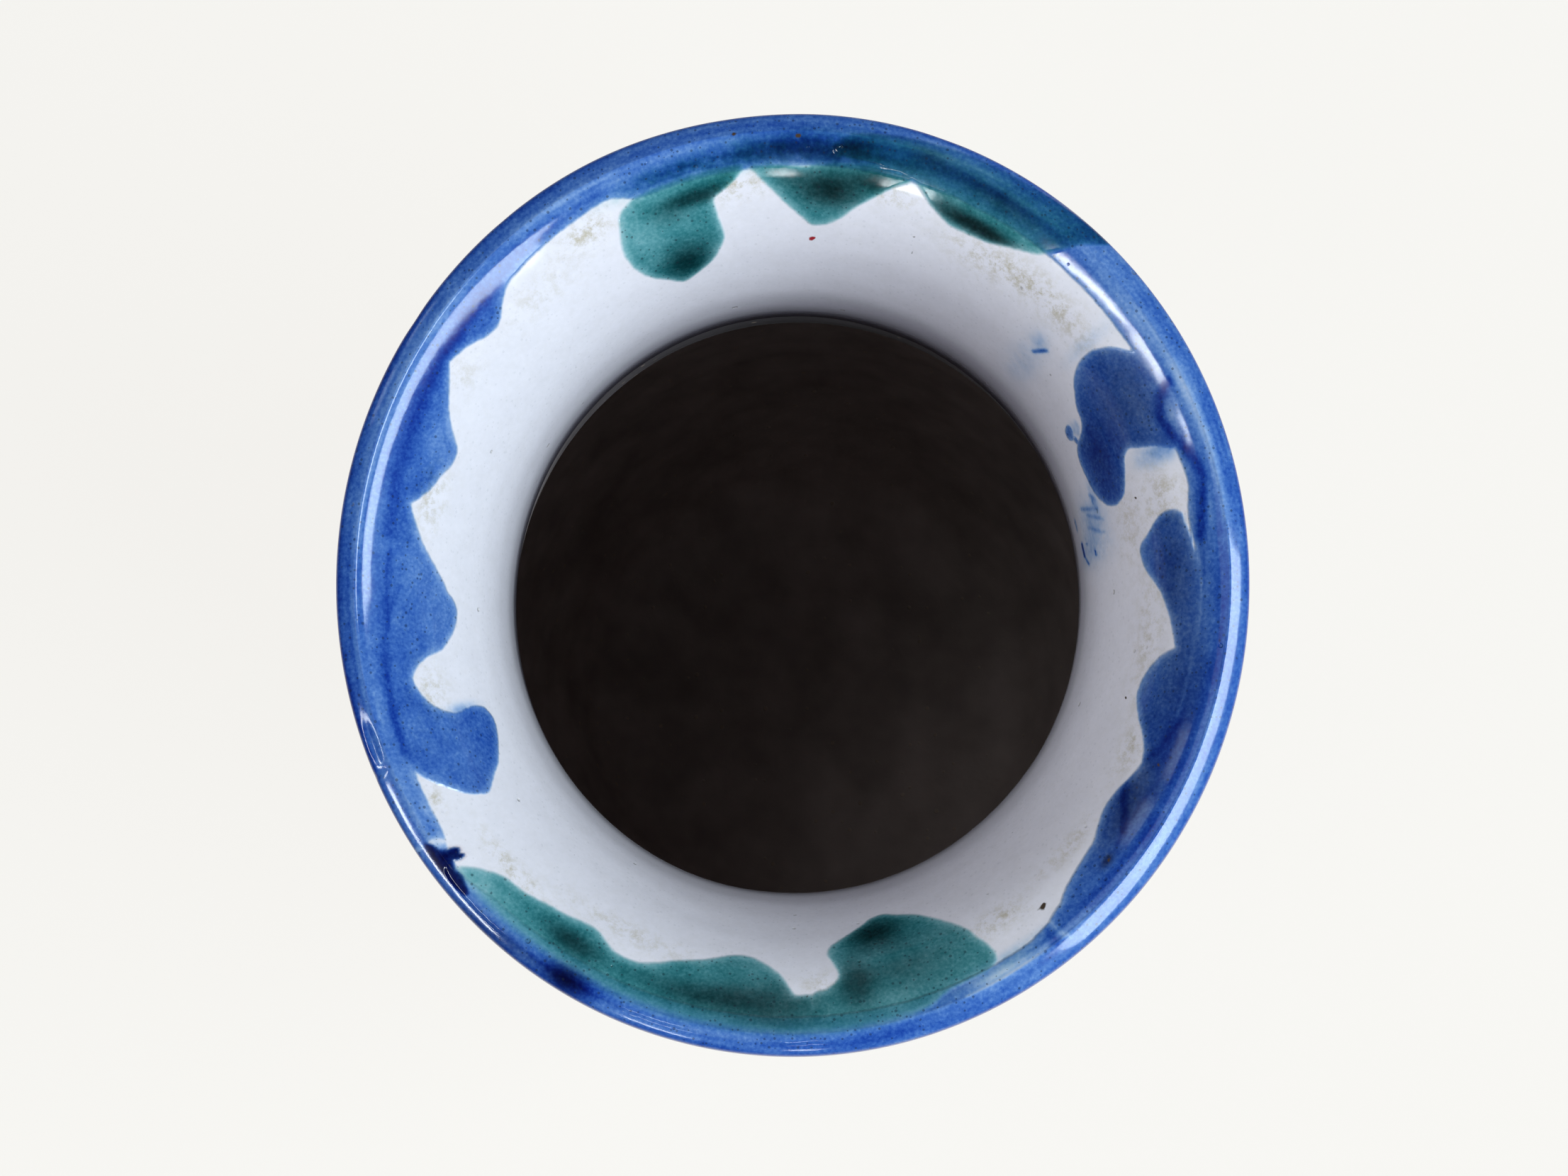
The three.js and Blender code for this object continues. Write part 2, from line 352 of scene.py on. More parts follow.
def pot_normal(angle, s, depth=0.0, relief_share=1.0, step=0.06):
    """The direction square to the surface: the cross product of its slopes round and along the section."""
    turn = step / 50.0
    around = pot(angle + turn, s, depth, relief_share) - pot(angle - turn, s, depth, relief_share)
    along = pot(angle, s + step, depth, relief_share) - pot(angle, s - step, depth, relief_share)
    normal = np.cross(around, along)
    return normal / np.maximum(np.linalg.norm(normal, axis=-1, keepdims=True), 1e-12)


print("top of the lip:", float(pot(np.linspace(0, 6.28, 400)[None, :], np.linspace(2, 6, 60)[:, None])[..., 2].max()))

# %% [markdown]
# ## From arrays to a mesh
# A coat of glaze is a closed shell: its face, an end, its back against the clay, and the other end. Its
# section is a closed loop, so every ring joins the next and the last joins the first. The body is closed the
# other way: its section starts and ends on the axis, where a ring shrinks to one point.

# %% Make a mesh object from rings of points
def ring_faces(rows, columns, closed):
    """Four corners for each cell of a grid of rings, walked so that the face points out."""
    row = np.arange(rows if closed else rows - 1)[:, None]
    column = np.arange(columns)[None, :]
    after = (row + 1) % rows
    beside = (column + 1) % columns
    corners = [row * columns + column, row * columns + beside, after * columns + beside, after * columns + column]
    return np.stack(np.broadcast_arrays(*corners), axis=-1).reshape(-1, 4)


def cap_faces(first, pole, columns, facing_up):
    """Triangles from a ring to the one point that closes it."""
    column = np.arange(columns)
    beside = (column + 1) % columns
    pair = (first + column, first + beside) if facing_up else (first + beside, first + column)
    return np.stack([pair[0], pair[1], np.full(columns, pole)], axis=1)


def mesh_object(name, points, quads, triangles=None, normals=None):
    """A smooth mesh object at the origin, riding on the vase, from arrays of points and faces."""
    mesh = bpy.data.meshes.new(name)
    corners = quads.ravel()
    starts = np.arange(len(quads)) * 4
    if triangles is not None:
        starts = np.concatenate([starts, len(corners) + np.arange(len(triangles)) * 3])
        corners = np.concatenate([corners, triangles.ravel()])
    mesh.vertices.add(len(points))
    mesh.vertices.foreach_set("co", points.astype(np.float32).ravel())
    mesh.loops.add(len(corners))
    mesh.loops.foreach_set("vertex_index", corners.astype(np.int32))
    mesh.polygons.add(len(starts))
    mesh.polygons.foreach_set("loop_start", starts.astype(np.int32))
    mesh.update(calc_edges=True)
    mesh.validate()
    mesh.shade_smooth()
    if normals is not None:
        mesh.normals_split_custom_set_from_vertices(normals.reshape(-1, 3).tolist())
    piece = bpy.data.objects.new(name, mesh)
    bpy.context.scene.collection.objects.link(piece)
    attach(piece, "root")
    print(name, "has", len(points), "points and", len(starts), "faces")
    return piece


def store(piece, name, values):
    """Keeps one number for each point of the mesh, for the material to read."""
    attribute = piece.data.attributes.new(name, "FLOAT", "POINT")
    attribute.data.foreach_set("value", np.asarray(values, np.float32).ravel())


# %% [markdown]
# ## Brush marks as outlines
# A round brush leaves a drop-shaped dab. Each dab is a closed outline of a few points on the unrolled mouth,
# (degrees round, s in millimetres), smoothed by a Catmull-Rom spline. What the mesh stores isn't a colour but
# the distance to the outline, positive inside: the material can then make the edge as crisp, as soft or as
# ragged as it likes, finer than the mesh itself.

# %% Distance to a drawn outline
UNROLLED_RADIUS = 48.0


def spline(points, steps=8):
    """Closed Catmull-Rom spline: between two points, each of the four nearest is weighted by a cubic."""
    before, start = np.roll(points, 1, axis=0), points
    end, after = np.roll(points, -1, axis=0), np.roll(points, -2, axis=0)
    t = np.linspace(0.0, 1.0, steps, endpoint=False)[None, :, None]
    curve = 0.5 * (
        2 * start[:, None]
        + (end - before)[:, None] * t
        + (2 * before - 5 * start + 4 * end - after)[:, None] * t**2
        + (3 * start - before - 3 * end + after)[:, None] * t**3
    )
    return curve.reshape(-1, 2)


def distance_to_step(x, y, start, end):
    """Each point's distance to a straight step: to its nearest point, a share of the way along it."""
    step = end - start
    share = ((x - start[0]) * step[0] + (y - start[1]) * step[1]) / max(step @ step, 1e-12)
    share = np.clip(share, 0.0, 1.0)
    return np.hypot(x - start[0] - share * step[0], y - start[1] - share * step[1])


def distance_to_line(x, y, curve):
    """The distance to a closed curve, positive inside: a point is inside where a line to its right crosses
    the curve an odd number of times."""
    nearest = np.full(x.shape, np.inf)
    inside = np.zeros(x.shape, bool)
    for start, end in zip(curve, np.roll(curve, -1, axis=0)):
        step = end - start
        nearest = np.minimum(nearest, distance_to_step(x, y, start, end))
        crossing = (start[1] > y) != (end[1] > y)
        if step[1] != 0.0:
            inside ^= crossing & (x < start[0] + (y - start[1]) * step[0] / step[1])
    return np.where(inside, nearest, -nearest)


def dab_field(angle, s, outline, radius=UNROLLED_RADIUS, reach=4.0):
    """Signed distance to a dab in millimetres, worked out only near it and -reach elsewhere."""
    points = np.array(outline, float)
    middle = points[:, 0].mean()
    curve = spline(np.stack([np.radians(points[:, 0] - middle) * radius, points[:, 1]], axis=1))
    x = angle_gap(angle, middle) * radius
    low, high = curve.min(axis=0) - reach, curve.max(axis=0) + reach
    near = (x > low[0]) & (x < high[0]) & (s > low[1]) & (s < high[1])
    field = np.full(x.shape, -reach)
    field[near] = np.maximum(distance_to_line(x[near], s[near], curve), -reach)
    return field


# %% The blue band round the lip, and where it ends inside the mouth
BAND_EDGE = [
    (4, 8.6), (9, 9.2), (14, 8.0), (17, 8.5), (34, 8.1), (47, 8.2), (72, 8.2), (96, 8.6), (112, 8.8),
    (115, 7.1), (117, 7.0), (120, 7.4), (125, 7.5), (130, 7.8), (147, 8.4), (168, 8.8), (194, 8.5),
    (207, 6.6), (216, 6.1), (219, 4.8), (223, 4.6), (227, 5.6), (240, 6.2), (260, 6.4), (280, 6.4), (292, 6.3),
    (298.6, 6.3), (301.6, 6.2), (304.5, 6.5), (307.5, 7.2), (320, 8.5), (333, 9.0), (350, 9.0),
]


def round_line(angle, points, blur=1.6):
    """A smooth line round the pot through (degrees, value) pairs: straight steps, then a running mean
    weighted by a bell curve of that many degrees."""
    pairs = np.array(points, float)
    degrees = np.arange(0.0, 360.0, 0.25)
    line = np.interp(degrees, pairs[:, 0], pairs[:, 1], period=360.0)
    weights = hump(np.arange(-40, 41) * 0.25, 0.0, blur)
    line = np.convolve(np.concatenate([line[-40:], line, line[:40]]), weights / weights.sum(), "valid")
    return np.interp(np.degrees(np.mod(angle, 2 * math.pi)), degrees, line, period=360.0)


# %% The dabs inside the mouth
BLUE_DABS = {
    "right low": [
        (305, 5), (307.5, 7.3), (309.5, 7.9), (311.5, 8.9), (314.5, 9.8), (317.5, 10.3), (319.5, 10.7),
        (321, 11.4), (324, 12.2), (327, 12), (329, 11.4), (331, 10.8), (332.6, 10.5), (334.5, 9.6), (335, 5),
    ],
    "right middle": [
        (329, 5), (330, 9.6), (332.2, 10.6), (334, 11.1), (335.5, 11.8), (337.5, 13.2), (339, 14.2), (341.5, 15.3),
        (343.5, 15.4), (346, 14.7), (348, 13.4), (349.2, 12.1), (349.9, 11), (351.5, 9.8), (352, 5),
    ],
    "right high": [
        (347, 5), (348, 9.8), (349.8, 10.9), (351, 11.3), (354, 12.2), (357, 13.4), (359, 14.4), (362, 16.5), (364, 17.3),
        (366, 17.3), (368, 15.5), (370, 13.5), (370.6, 11.8), (370, 10.1), (368.4, 9.7), (367, 9.3),
        (364, 8.7), (360, 7.5), (354, 5),
    ],
    "right top": [
        (19, 7.5), (20.3, 11.1), (21.2, 13.7), (21.8, 15.2), (20.8, 16.5), (18, 17.5), (15.5, 18.5),
        (14.3, 20.1), (14.2, 21.4), (15.1, 23), (17.2, 24.6), (20.2, 25.5), (23.3, 25.8), (25.8, 25.3),
        (27.2, 24.2), (28.2, 22.5), (29.7, 21.2), (32.2, 20.6), (34.2, 19.5), (36.2, 18.1), (37.4, 16),
        (37.8, 14.2), (37.4, 12.2), (36.1, 10.3), (34.1, 8.6), (32.5, 7.5), (26, 6),
    ],
    "drop": [(28.3, 24.9), (29.0, 24.4), (30.1, 23.9), (30.9, 24.2), (30.8, 25.0), (30.2, 25.7), (29.1, 25.9), (28.4, 25.5)],
    "drop's tail": [(27.0, 24.3), (27.8, 23.9), (28.4, 24.1), (28.3, 24.6), (27.6, 24.6)],
    "left top": [
        (128, 5), (130.5, 7.7), (133, 8.1), (135.5, 9.1), (137.5, 10.5), (139, 11), (141, 10.7),
        (143.5, 9.6), (146, 8.8), (148, 8.3), (149, 7.4), (149, 5),
    ],
    "left upper": [
        (144.5, 5), (145.5, 7.8), (147.6, 8.6), (150.5, 10.3), (153, 11.4), (155.5, 13), (157.5, 14.8),
        (159, 15.3), (161, 15), (163, 14), (165.3, 13.1), (167, 11.9), (168.3, 10.7), (170, 9.6), (170.5, 5),
    ],
    "left lower": [
        (165.5, 5), (166.5, 9.6), (168.3, 10.5), (171, 11.8), (173.5, 13.1), (176, 14.8), (179, 16.9),
        (181, 17.9), (183, 19.3), (185, 19.5), (187, 18.9), (189, 17.6), (190.7, 15.7), (191.5, 13.6),
        (192.5, 11.9), (194, 10.7), (196, 9.6), (196.5, 5),
    ],
    "left bottom": [
        (191.5, 5), (192.5, 9.6), (194.2, 10.4), (195.5, 10.7), (197, 11.2), (199, 12.4), (200.5, 14.3), (201.2, 16),
        (200.8, 17.6), (200.6, 19.7), (201, 21.1), (202.4, 22.1), (204, 22.4), (206, 22), (208.4, 20.9),
        (211, 19.2), (212.5, 17.4), (214, 15.6), (214.6, 14.6), (214, 13), (213, 11.4), (211, 9.6),
        (209, 7.9), (207, 6.5), (204, 4),
    ],
}
GREEN_DABS = {
    "top right": [
        (46.3, 1.2), (47.5, 2.8), (49, 4.4), (50.2, 5.9), (51.6, 7.6), (53.4, 9.1), (57.3, 10.5),
        (60, 11.4), (63.4, 11.8), (66.5, 11.7), (69.5, 10.4), (71.5, 8.9), (73.2, 8.0), (78, 7.4), (84, 6.6),
        (83, 4.4), (77, 3.2), (71, 2.6), (65, 2.3), (58, 2.0), (51, 1.3), (48, 0.8),
    ],
    "top": [
        (74.5, 7.6), (73.4, 8.2), (75.6, 9.6), (78, 11.5), (80.7, 13.6), (82.7, 15.4), (84.7, 16.5),
        (86.8, 16.8), (88.3, 15.8), (90.8, 13.6), (92.8, 11.6), (94.4, 10), (95, 9.2), (95.6, 8.4),
        (93, 8.2), (89, 8.6), (86, 8.2), (80, 7.5),
    ],
    "top left": [
        (97, 8.0), (97.2, 8.9), (99.4, 10.5), (101.5, 11.6), (101.6, 13.3), (101.3, 15.4), (101.1, 17.5),
        (102, 19.2), (103.5, 20.9), (106, 22.4), (108.5, 23.4), (110, 23.3), (112, 21.9), (114.6, 20.1),
        (116.2, 17.8), (116.9, 15.4), (116.7, 13.3), (116, 11.3), (115.2, 9.7), (113.7, 8.9), (112, 8.4),
        (107, 8.1), (101, 8.0),
    ],
    "bottom left": [
        (220.5, 3.2), (221.2, 5), (222.3, 6.3), (223.6, 7.3), (226, 8.6), (230, 9.2), (233, 9.9), (236, 10.4),
        (239, 11), (241, 11), (242.7, 10.3), (244.7, 9.5), (246.7, 9.4), (248.6, 9.7), (251, 10.7),
        (253.5, 11.9), (256.5, 13), (259, 14.1), (261.4, 15), (264, 15), (266.3, 13.9), (268.3, 12.3),
        (269.5, 10.7), (270.5, 9.4), (273, 8.9), (274, 3.4), (260, 3.2), (240, 2.9), (226, 2.9),
    ],
    "bottom right": [
        (271.5, 3.4), (272.5, 9), (275, 10.1), (276.6, 11.3), (276.8, 12.5), (276.1, 14.2), (275.5, 15.6),
        (275.8, 16.9), (277.1, 18), (279.5, 19.5), (281.5, 20.7), (283, 21.8), (285, 22.1), (287, 21.2),
        (289.8, 19.7), (291.8, 18.1), (294.2, 15.6), (296.2, 13.2), (297.2, 11), (298.1, 9), (298.4, 7.5),
        (297.8, 6.5), (296.0, 6.1), (291, 5.9), (287.5, 4.6), (281, 3.6),
    ],
}
print(len(BLUE_DABS), "blue dabs and", len(GREEN_DABS), "green ones")

# %% [markdown]
# ## How much pigment lies where
# Cobalt blue and copper green are stains in the glaze: where the brush lifts, or two strokes overlap, more
# pigment lies and the colour goes deep. A pool is a bell-shaped heap of extra pigment, longer one way than
# the other. A hollow is a pool with a negative load, such as the crest of the lip, where the glaze ran thin.
# Some hollows are painted light instead: a sheen inside the crest on the upper right, and a pale reflection low
# right.

# %% Pools of pigment: degrees, s, width round and width across in millimetres, load
# The blue hollows between 20 and 40 degrees, s 5 to 7.2, are a painted sheen: paler blue where the lip catches the
# light.
BLUE_POOLS = [
    (16.0, 21.5, 4.5, 3.0, 0.35), (24.0, 20.0, 4.5, 5.5, 0.5), (33.0, 15.0, 4.0, 4.0, 0.1),
    (23.5, 7.2, 2.2, 1.2, -0.45), (24.0, 5.0, 9.0, 1.1, -0.45), (38.0, 5.6, 8.0, 1.2, -0.2),
    (363.0, 13.5, 4.5, 2.5, 0.3), (343.0, 11.5, 5.0, 2.0, 0.2), (338.0, 8.6, 6.0, 1.6, 0.5),
    (330.3, 9.3, 1.6, 1.3, -0.35), (322.0, 5.0, 15.0, 1.1, 0.45), (345.0, 5.0, 15.0, 1.1, 0.4),
    (1.0, 4.7, 8.0, 0.8, 0.2), (241.0, 3.2, 3.0, 1.4, 1.5), (280.0, 2.8, 15.0, 1.2, 0.4),
    (181.0, 3.0, 12.0, 1.0, 0.35), (216.9, 4.8, 0.9, 1.0, -0.55), (221.2, 5.4, 0.7, 0.8, -0.7),
    (90.0, 5.2, 5.0, 1.6, 0.55), (94.0, 5.6, 5.0, 1.4, -0.3), (158.0, 12.5, 4.5, 2.4, -0.3),
    (176.0, 12.5, 5.5, 3.0, -0.15), (184.0, 15.0, 4.0, 2.5, -0.15), (186.0, 10.5, 8.0, 1.6, -0.05),
    # The hollow at 298.5 degrees, s 5.1, is a painted reflection: a pale streak low right.
    (113.5, 6.0, 2.0, 1.2, -0.35), (250.0, 4.7, 16.0, 1.1, 0.42), (298.5, 5.1, 5.2, 0.9, -0.65),
    (309.5, 4.8, 1.8, 1.4, -0.3), (150.0, 1.4, 16.0, 0.9, 0.6), (212.5, 5.6, 2.0, 0.6, -0.25),
    (198.0, 1.6, 7.0, 1.0, 0.45), (300.0, 1.6, 40.0, 0.9, -0.3), (38.0, 1.6, 20.0, 0.9, -0.25),
    (63.0, 4.0, 8.0, 1.4, -0.3), (10.0, 6.0, 4.0, 0.8, -0.35), (148.0, 7.0, 14.0, 0.9, 0.25),
    (336.0, 7.4, 9.0, 1.2, 0.3), (72.0, 0.6, 5.0, 1.0, 0.5),
]
GREEN_POOLS = [
    (62.0, 10.1, 5.0, 1.3, 0.5), (84.0, 11.3, 5.0, 2.0, 0.45), (100.0, 10.0, 3.5, 1.0, 0.55),
    (106.5, 10.9, 4.0, 1.0, 0.5), (108.0, 20.0, 4.0, 2.6, 0.75), (239.0, 7.8, 3.6, 1.5, 0.65),
    (257.0, 7.8, 8.0, 1.5, 0.4), (283.5, 18.5, 4.0, 2.8, 0.7), (279.0, 9.0, 2.2, 2.2, 0.2),
    (114.0, 13.0, 2.4, 4.0, -0.3), (103.5, 20.0, 2.0, 2.0, -0.3), (231.0, 8.0, 4.0, 1.2, 0.2),
    (225.0, 6.2, 2.2, 1.2, -0.35), (286.0, 7.0, 8.0, 1.6, -0.15), (66.0, 3.2, 9.0, 1.2, -0.4),
    (78.0, 4.8, 3.0, 1.4, -0.4), (78.0, 10.0, 2.0, 2.0, 0.45), (90.5, 9.4, 2.2, 1.2, 0.4),
    (253.0, 11.2, 2.0, 1.0, 0.3), (276.5, 11.0, 1.6, 1.6, 0.3), (285.0, 14.5, 3.0, 1.6, 0.25),
]
# The heaps at s 0 to 1.4 between 150 and 240 degrees darken the outermost edge of the lip on the left.
DARK_POOLS = [
    (62.5, 10.4, 4.4, 0.9, 1.9), (84.5, 11.3, 3.6, 1.9, 1.3), (78.0, 9.6, 3.2, 1.0, 0.8),
    (103.5, 10.9, 4.2, 0.9, 1.0), (107.8, 20.2, 3.4, 2.6, 0.9), (70.0, 5.2, 7.0, 1.4, 0.3),
    (88.0, 6.6, 6.0, 1.4, 0.45), (239.0, 7.8, 3.0, 1.3, 0.9), (259.0, 7.9, 6.5, 1.5, 0.75),
    (268.0, 7.0, 5.0, 2.2, 0.45), (279.2, 10.4, 1.9, 3.0, 0.9), (283.0, 18.2, 3.0, 2.6, 1.1),
    (287.0, 10.0, 6.0, 3.5, 0.3), (240.8, 3.1, 2.0, 1.4, 1.4), (232.0, 2.6, 6.0, 0.9, 0.4),
    (28.0, 14.0, 8.0, 6.0, 0.42), (22.0, 21.5, 7.0, 3.0, 0.35), (2.0, 11.5, 7.0, 3.0, 0.5),
    (345.0, 9.5, 9.0, 3.2, 0.45), (325.0, 9.0, 6.0, 1.8, 0.6), (318.0, 7.3, 0.9, 0.5, 1.2),
    # The hollow at 24 degrees, s 5, is part of the painted sheen inside the crest.
    (24.0, 5.0, 12.0, 1.6, -0.2), (168.0, 0.3, 34.0, 0.9, 0.55), (210.0, 0.3, 12.0, 0.9, 0.5),
    (335.0, 6.9, 9.0, 0.8, 0.2), (222.0, 0.0, 22.0, 0.8, 0.7), (228.0, 1.4, 5.0, 0.9, 0.4),
    (78.0, 5.2, 3.5, 1.3, -0.5), (60.0, 6.0, 4.0, 1.2, 0.4), (56.0, 10.6, 4.0, 1.2, 0.35),
    (68.0, 9.6, 3.5, 1.2, 0.35), (72.0, 4.5, 2.0, 1.0, 0.3), (84.5, 12.4, 3.0, 2.0, 0.3),
    (90.0, 10.4, 2.0, 1.0, 0.35), (108.0, 12.2, 2.4, 1.2, 0.3), (268.0, 9.6, 6.0, 2.4, 0.4),
    (262.0, 9.2, 4.0, 1.2, 0.3), (30.0, 10.5, 8.0, 2.6, 0.3), (328.0, 10.4, 5.0, 2.2, 0.4),
    (14.0, 9.5, 5.0, 2.0, 0.1), (285.0, 11.4, 5.0, 1.6, 0.2),
]
GREEN_WASHES = [
    (82.0, 6.0, 6.0, 1.9, 0.95), (93.0, 6.4, 5.0, 1.5, 0.7), (104.0, 7.0, 6.5, 1.1, 0.75),
    (300.0, 5.8, 5.0, 0.9, 0.1), (275.0, 4.9, 14.0, 0.8, 0.2),
]
BLUE_SMUDGES = [
    (45.0, 23.5, 2.4, 5.0, 0.09), (44.6, 18.6, 1.2, 1.2, 0.14), (12.0, 28.0, 4.2, 4.0, 0.24),
    (17.0, 25.8, 2.0, 0.8, 0.3), (29.6, 23.4, 1.0, 0.9, 0.2), (19.6, 11.0, 1.3, 3.0, 0.4),
    (300.0, 6.6, 8.0, 0.6, 0.1), (39.0, 13.0, 1.0, 4.0, 0.08), (206.0, 12.0, 1.6, 3.0, 0.05),
    (8.0, 31.0, 2.0, 4.0, 0.12), (200.8, 17.0, 0.8, 2.6, 0.3),
]
STAINS = [
    (49.0, 12.8, 8.5, 2.2, 0.95), (60.0, 14.0, 5.0, 2.0, 0.6), (98.0, 10.6, 3.4, 1.7, 1.0),
    (75.5, 10.6, 3.0, 1.6, 0.8), (120.5, 9.4, 3.4, 1.8, 1.0), (131.0, 12.0, 5.0, 2.4, 0.4),
    (148.0, 11.0, 3.0, 2.0, 0.4), (167.0, 13.6, 4.0, 2.0, 0.8), (197.0, 13.0, 3.4, 2.4, 0.7),
    (301.0, 11.6, 3.6, 1.6, 0.9), (316.0, 13.0, 5.0, 1.2, 0.7), (12.5, 12.5, 4.0, 3.4, 0.8),
    (352.0, 15.5, 9.0, 2.4, 0.6), (334.0, 13.0, 4.0, 1.8, 0.8), (245.0, 13.0, 8.0, 1.6, 0.6),
    (226.0, 10.3, 5.0, 1.1, 0.9), (211.5, 7.4, 1.6, 0.9, 0.8), (274.0, 11.0, 2.4, 1.5, 0.6),
    (10.0, 19.0, 5.0, 2.4, 0.6),
]
# Where one stroke overlaps another, pigment lies in a narrow line, and a negative load leaves a line of less: points,
# half width and load
BLUE_STROKES = [
    ([(6, 7.8), (10, 6.9), (14, 6.1), (16.5, 6.5), (20, 8.2), (23.5, 9.1), (26, 8.2), (27.2, 6.9), (27.6, 6.0)], 0.6, 0.95),
    ([(137, 7.3), (146, 7.4), (156, 7.9), (165, 8.0), (173, 8.4)], 1.0, 0.6),
    ([(176, 8.6), (184, 8.2), (190, 7.7), (197, 6.8), (204, 6.4)], 0.5, 0.45),
    ([(181, 10.2), (183.5, 9.0), (186.5, 8.3)], 0.35, 0.3),
    ([(322.5, 8.0), (324.6, 9.2), (326.6, 10.6), (328.8, 11.5), (330.4, 11.5)], 0.5, 0.9),
    ([(332.5, 10.6), (335, 9.2), (339, 8.2)], 0.4, 0.5),
    ([(320, 7.7), (326, 8.0), (331, 7.8)], 0.2, 0.4),
    ([(338, 8.6), (346, 8.3), (360, 8.1)], 0.2, -0.4),
    ([(307.7, 3.5), (307.0, 5.0), (306.7, 7.2)], 0.3, -0.5),
    ([(305.9, 4.2), (305.6, 5.6), (305.8, 6.4)], 0.35, 0.4),
    # This line of less blue along the ridge, 292 to 305 degrees, is a painted highlight on top of that streak.
    ([(292.5, 4.2), (298, 4.2), (304.5, 4.4)], 0.22, -0.35),
    ([(215.9, 1.0), (216.2, 3.0), (216.5, 4.6), (217.6, 5.8)], 0.22, -0.6),
    ([(218.9, 4.0), (218.9, 5.8)], 0.35, 0.9),
    ([(220.0, 4.2), (220.1, 6.3)], 0.3, 0.7),
]
# Smears of a fingertip on the white: points, half width and load
BLUE_SMEARS = [
    ([(42.9, 18.8), (43.5, 19.6), (44.4, 20.7)], 0.28, 0.75),
    ([(5.9, 31.7), (6.6, 32.4), (7.6, 33.1)], 0.22, 0.7),
    ([(8.0, 33.4), (9.0, 33.6), (10.1, 33.8)], 0.32, 1.6),
    ([(7.1, 28.4), (7.7, 28.5)], 0.22, 1.2),
    ([(9.7, 31.4), (9.8, 31.9)], 0.2, 0.4),
    ([(13.4, 35.1), (15.2, 35.0)], 0.4, 0.45),
    ([(10.5, 25.0), (12.5, 29.5)], 0.3, 0.22),
    ([(12.8, 24.6), (14.8, 29.0)], 0.3, 0.22),
    ([(15.0, 25.6), (16.4, 30.5)], 0.35, 0.25),
    ([(16.2, 26.2), (17.2, 26.0), (18.0, 26.4)], 0.3, 0.4),
    ([(28.4, 23.2), (29.4, 22.4), (30.6, 22.4)], 0.3, 0.15),
]
# Specks big enough to have a place: degrees, s, radius
FLECKS = [
    (307.2, 9.1, 0.36), (307.7, 9.3, 0.25), (306.4, 9.4, 0.2), (318.3, 7.2, 0.22), (89.1, 4.7, 0.32), (97.3, 4.0, 0.25), (333.0, 8.3, 0.25),
    (14.0, 16.6, 0.22), (52.2, 14.1, 0.22), (229.9, 9.0, 0.22), (70.8, 15.4, 0.18), (341.0, 17.3, 0.22),
    (272.0, 9.3, 0.15), (70.3, 18.0, 0.18), (341.5, 23.0, 0.15), (231.0, 19.5, 0.15),
]
RED_FLECK = [(87.0, 19.2, 0.34), (86.6, 19.0, 0.22)]
DARK_DRIP = [
    (216.3, 2.8), (216.6, 3.7), (217.8, 4.2), (218.3, 5.0), (218.7, 6.1), (219.2, 6.6), (219.7, 6.2),
    (220.2, 6.6),
    (220.4, 5.8), (220.0, 4.8), (221.0, 4.3), (222.2, 4.5), (223.0, 4.2), (224.2, 3.7), (223.8, 3.0),
    (220.0, 2.6),
]


def painted_shade_amount(angle, s):
    """Painted shade: how deep a grey darkens the lining towards the throat and over its end, more on one side than
    the other.
    """
    places = [0.0, 24.0, 28.0, 30.0, 32.0, 34.0, 36.0, 38.0, 40.0, 46.0, 60.0]
    shades = [0.0, 0.0, 0.07, 0.14, 0.21, 0.29, 0.40, 0.56, 0.85, 5.0, 5.0]
    side = 0.65 + 0.15 * np.cos(angle_gap(angle, 90.0))
    far_right = np.interp(s, [11.0, 18.0, 24.0, 30.0, 36.0, 40.0], [0.0, 0.15, 0.34, 0.32, 0.66, 0.7])
    return np.interp(s, places, shades) * side + far_right * hump(angle_gap(angle, 57.0), 0.0, 0.85)


def heaped(angle, s, pools):
    """The sum of bell-shaped heaps, each wide round the pot and across the wall by its own widths."""
    total = np.zeros(np.broadcast(angle, s).shape)
    for degrees, place, width_round, width_across, load in pools:
        gap = angle_gap(angle, degrees) * UNROLLED_RADIUS
        total += load * hump(gap, 0.0, width_round) * hump(s, place, width_across)
    return total


# %% [markdown]
# ## What the mouth's paint stores
# Each point keeps the distances to the blue and to the green, the loads of blue, green and dark pigment, how
# stained or chipped the glaze is, and how much painted shade darkens it near the throat. Streaks follow the brush
# round the lip, so their random cells are long that way.

# %% Paint of the mouth
def stroke_load(angle, s, strokes):
    """The pigment of narrow lines: a bell curve of the distance to each line of (degrees, s) points."""
    total = np.zeros(s.shape)
    for points, width, load in strokes:
        middle = points[0][0]
        line = np.array([(math.radians(degrees - middle) * UNROLLED_RADIUS, place) for degrees, place in points])
        x = angle_gap(angle, middle) * UNROLLED_RADIUS
        distances = [distance_to_step(x, s, start, end) for start, end in zip(line[:-1], line[1:])]
        total += load * hump(np.minimum.reduce(distances), 0.0, width)
    return total


def flecks(angle, s, places):
    """Small round specks, each a bell curve as wide as its radius."""
    return heaped(angle, s, [(degrees, place, size, size, 1.0) for degrees, place, size in places])


def band_load(angle, s):
    """Pigment of the blue: thin on the crest, thick at the outer edge, with clouds. The band has streaks."""
    band = 0.42 * hump(s, 0.9, 1.0) - 0.2 * hump(s, 4.1, 1.0)
    on_band = 1 - smooth_step((s - 6.0) / 3.0)
    streaks = 0.14 * unevenness(angle, s, 18, 0.8, 11) + 0.14 * unevenness(angle, s, 40, 0.45, 12)
    clouds = 0.12 * unevenness(angle, s, 30, 3.5, 13) + 0.10 * unevenness(angle, s, 80, 1.6, 15)
    return 0.95 + band + streaks * on_band + clouds


def chips(angle, s):
    """Where knocks took the glaze off the outer edge, each a bell curve."""
    total = np.zeros(s.shape)
    for degrees, place, depth, width, across in EDGE_MARKS:
        gap = angle_gap(angle, degrees) * MOUTH_RADIUS
        total += hump(gap, 0.0, width * 0.6) * hump(s, place + 0.3, across) * (depth < 0)
    return total


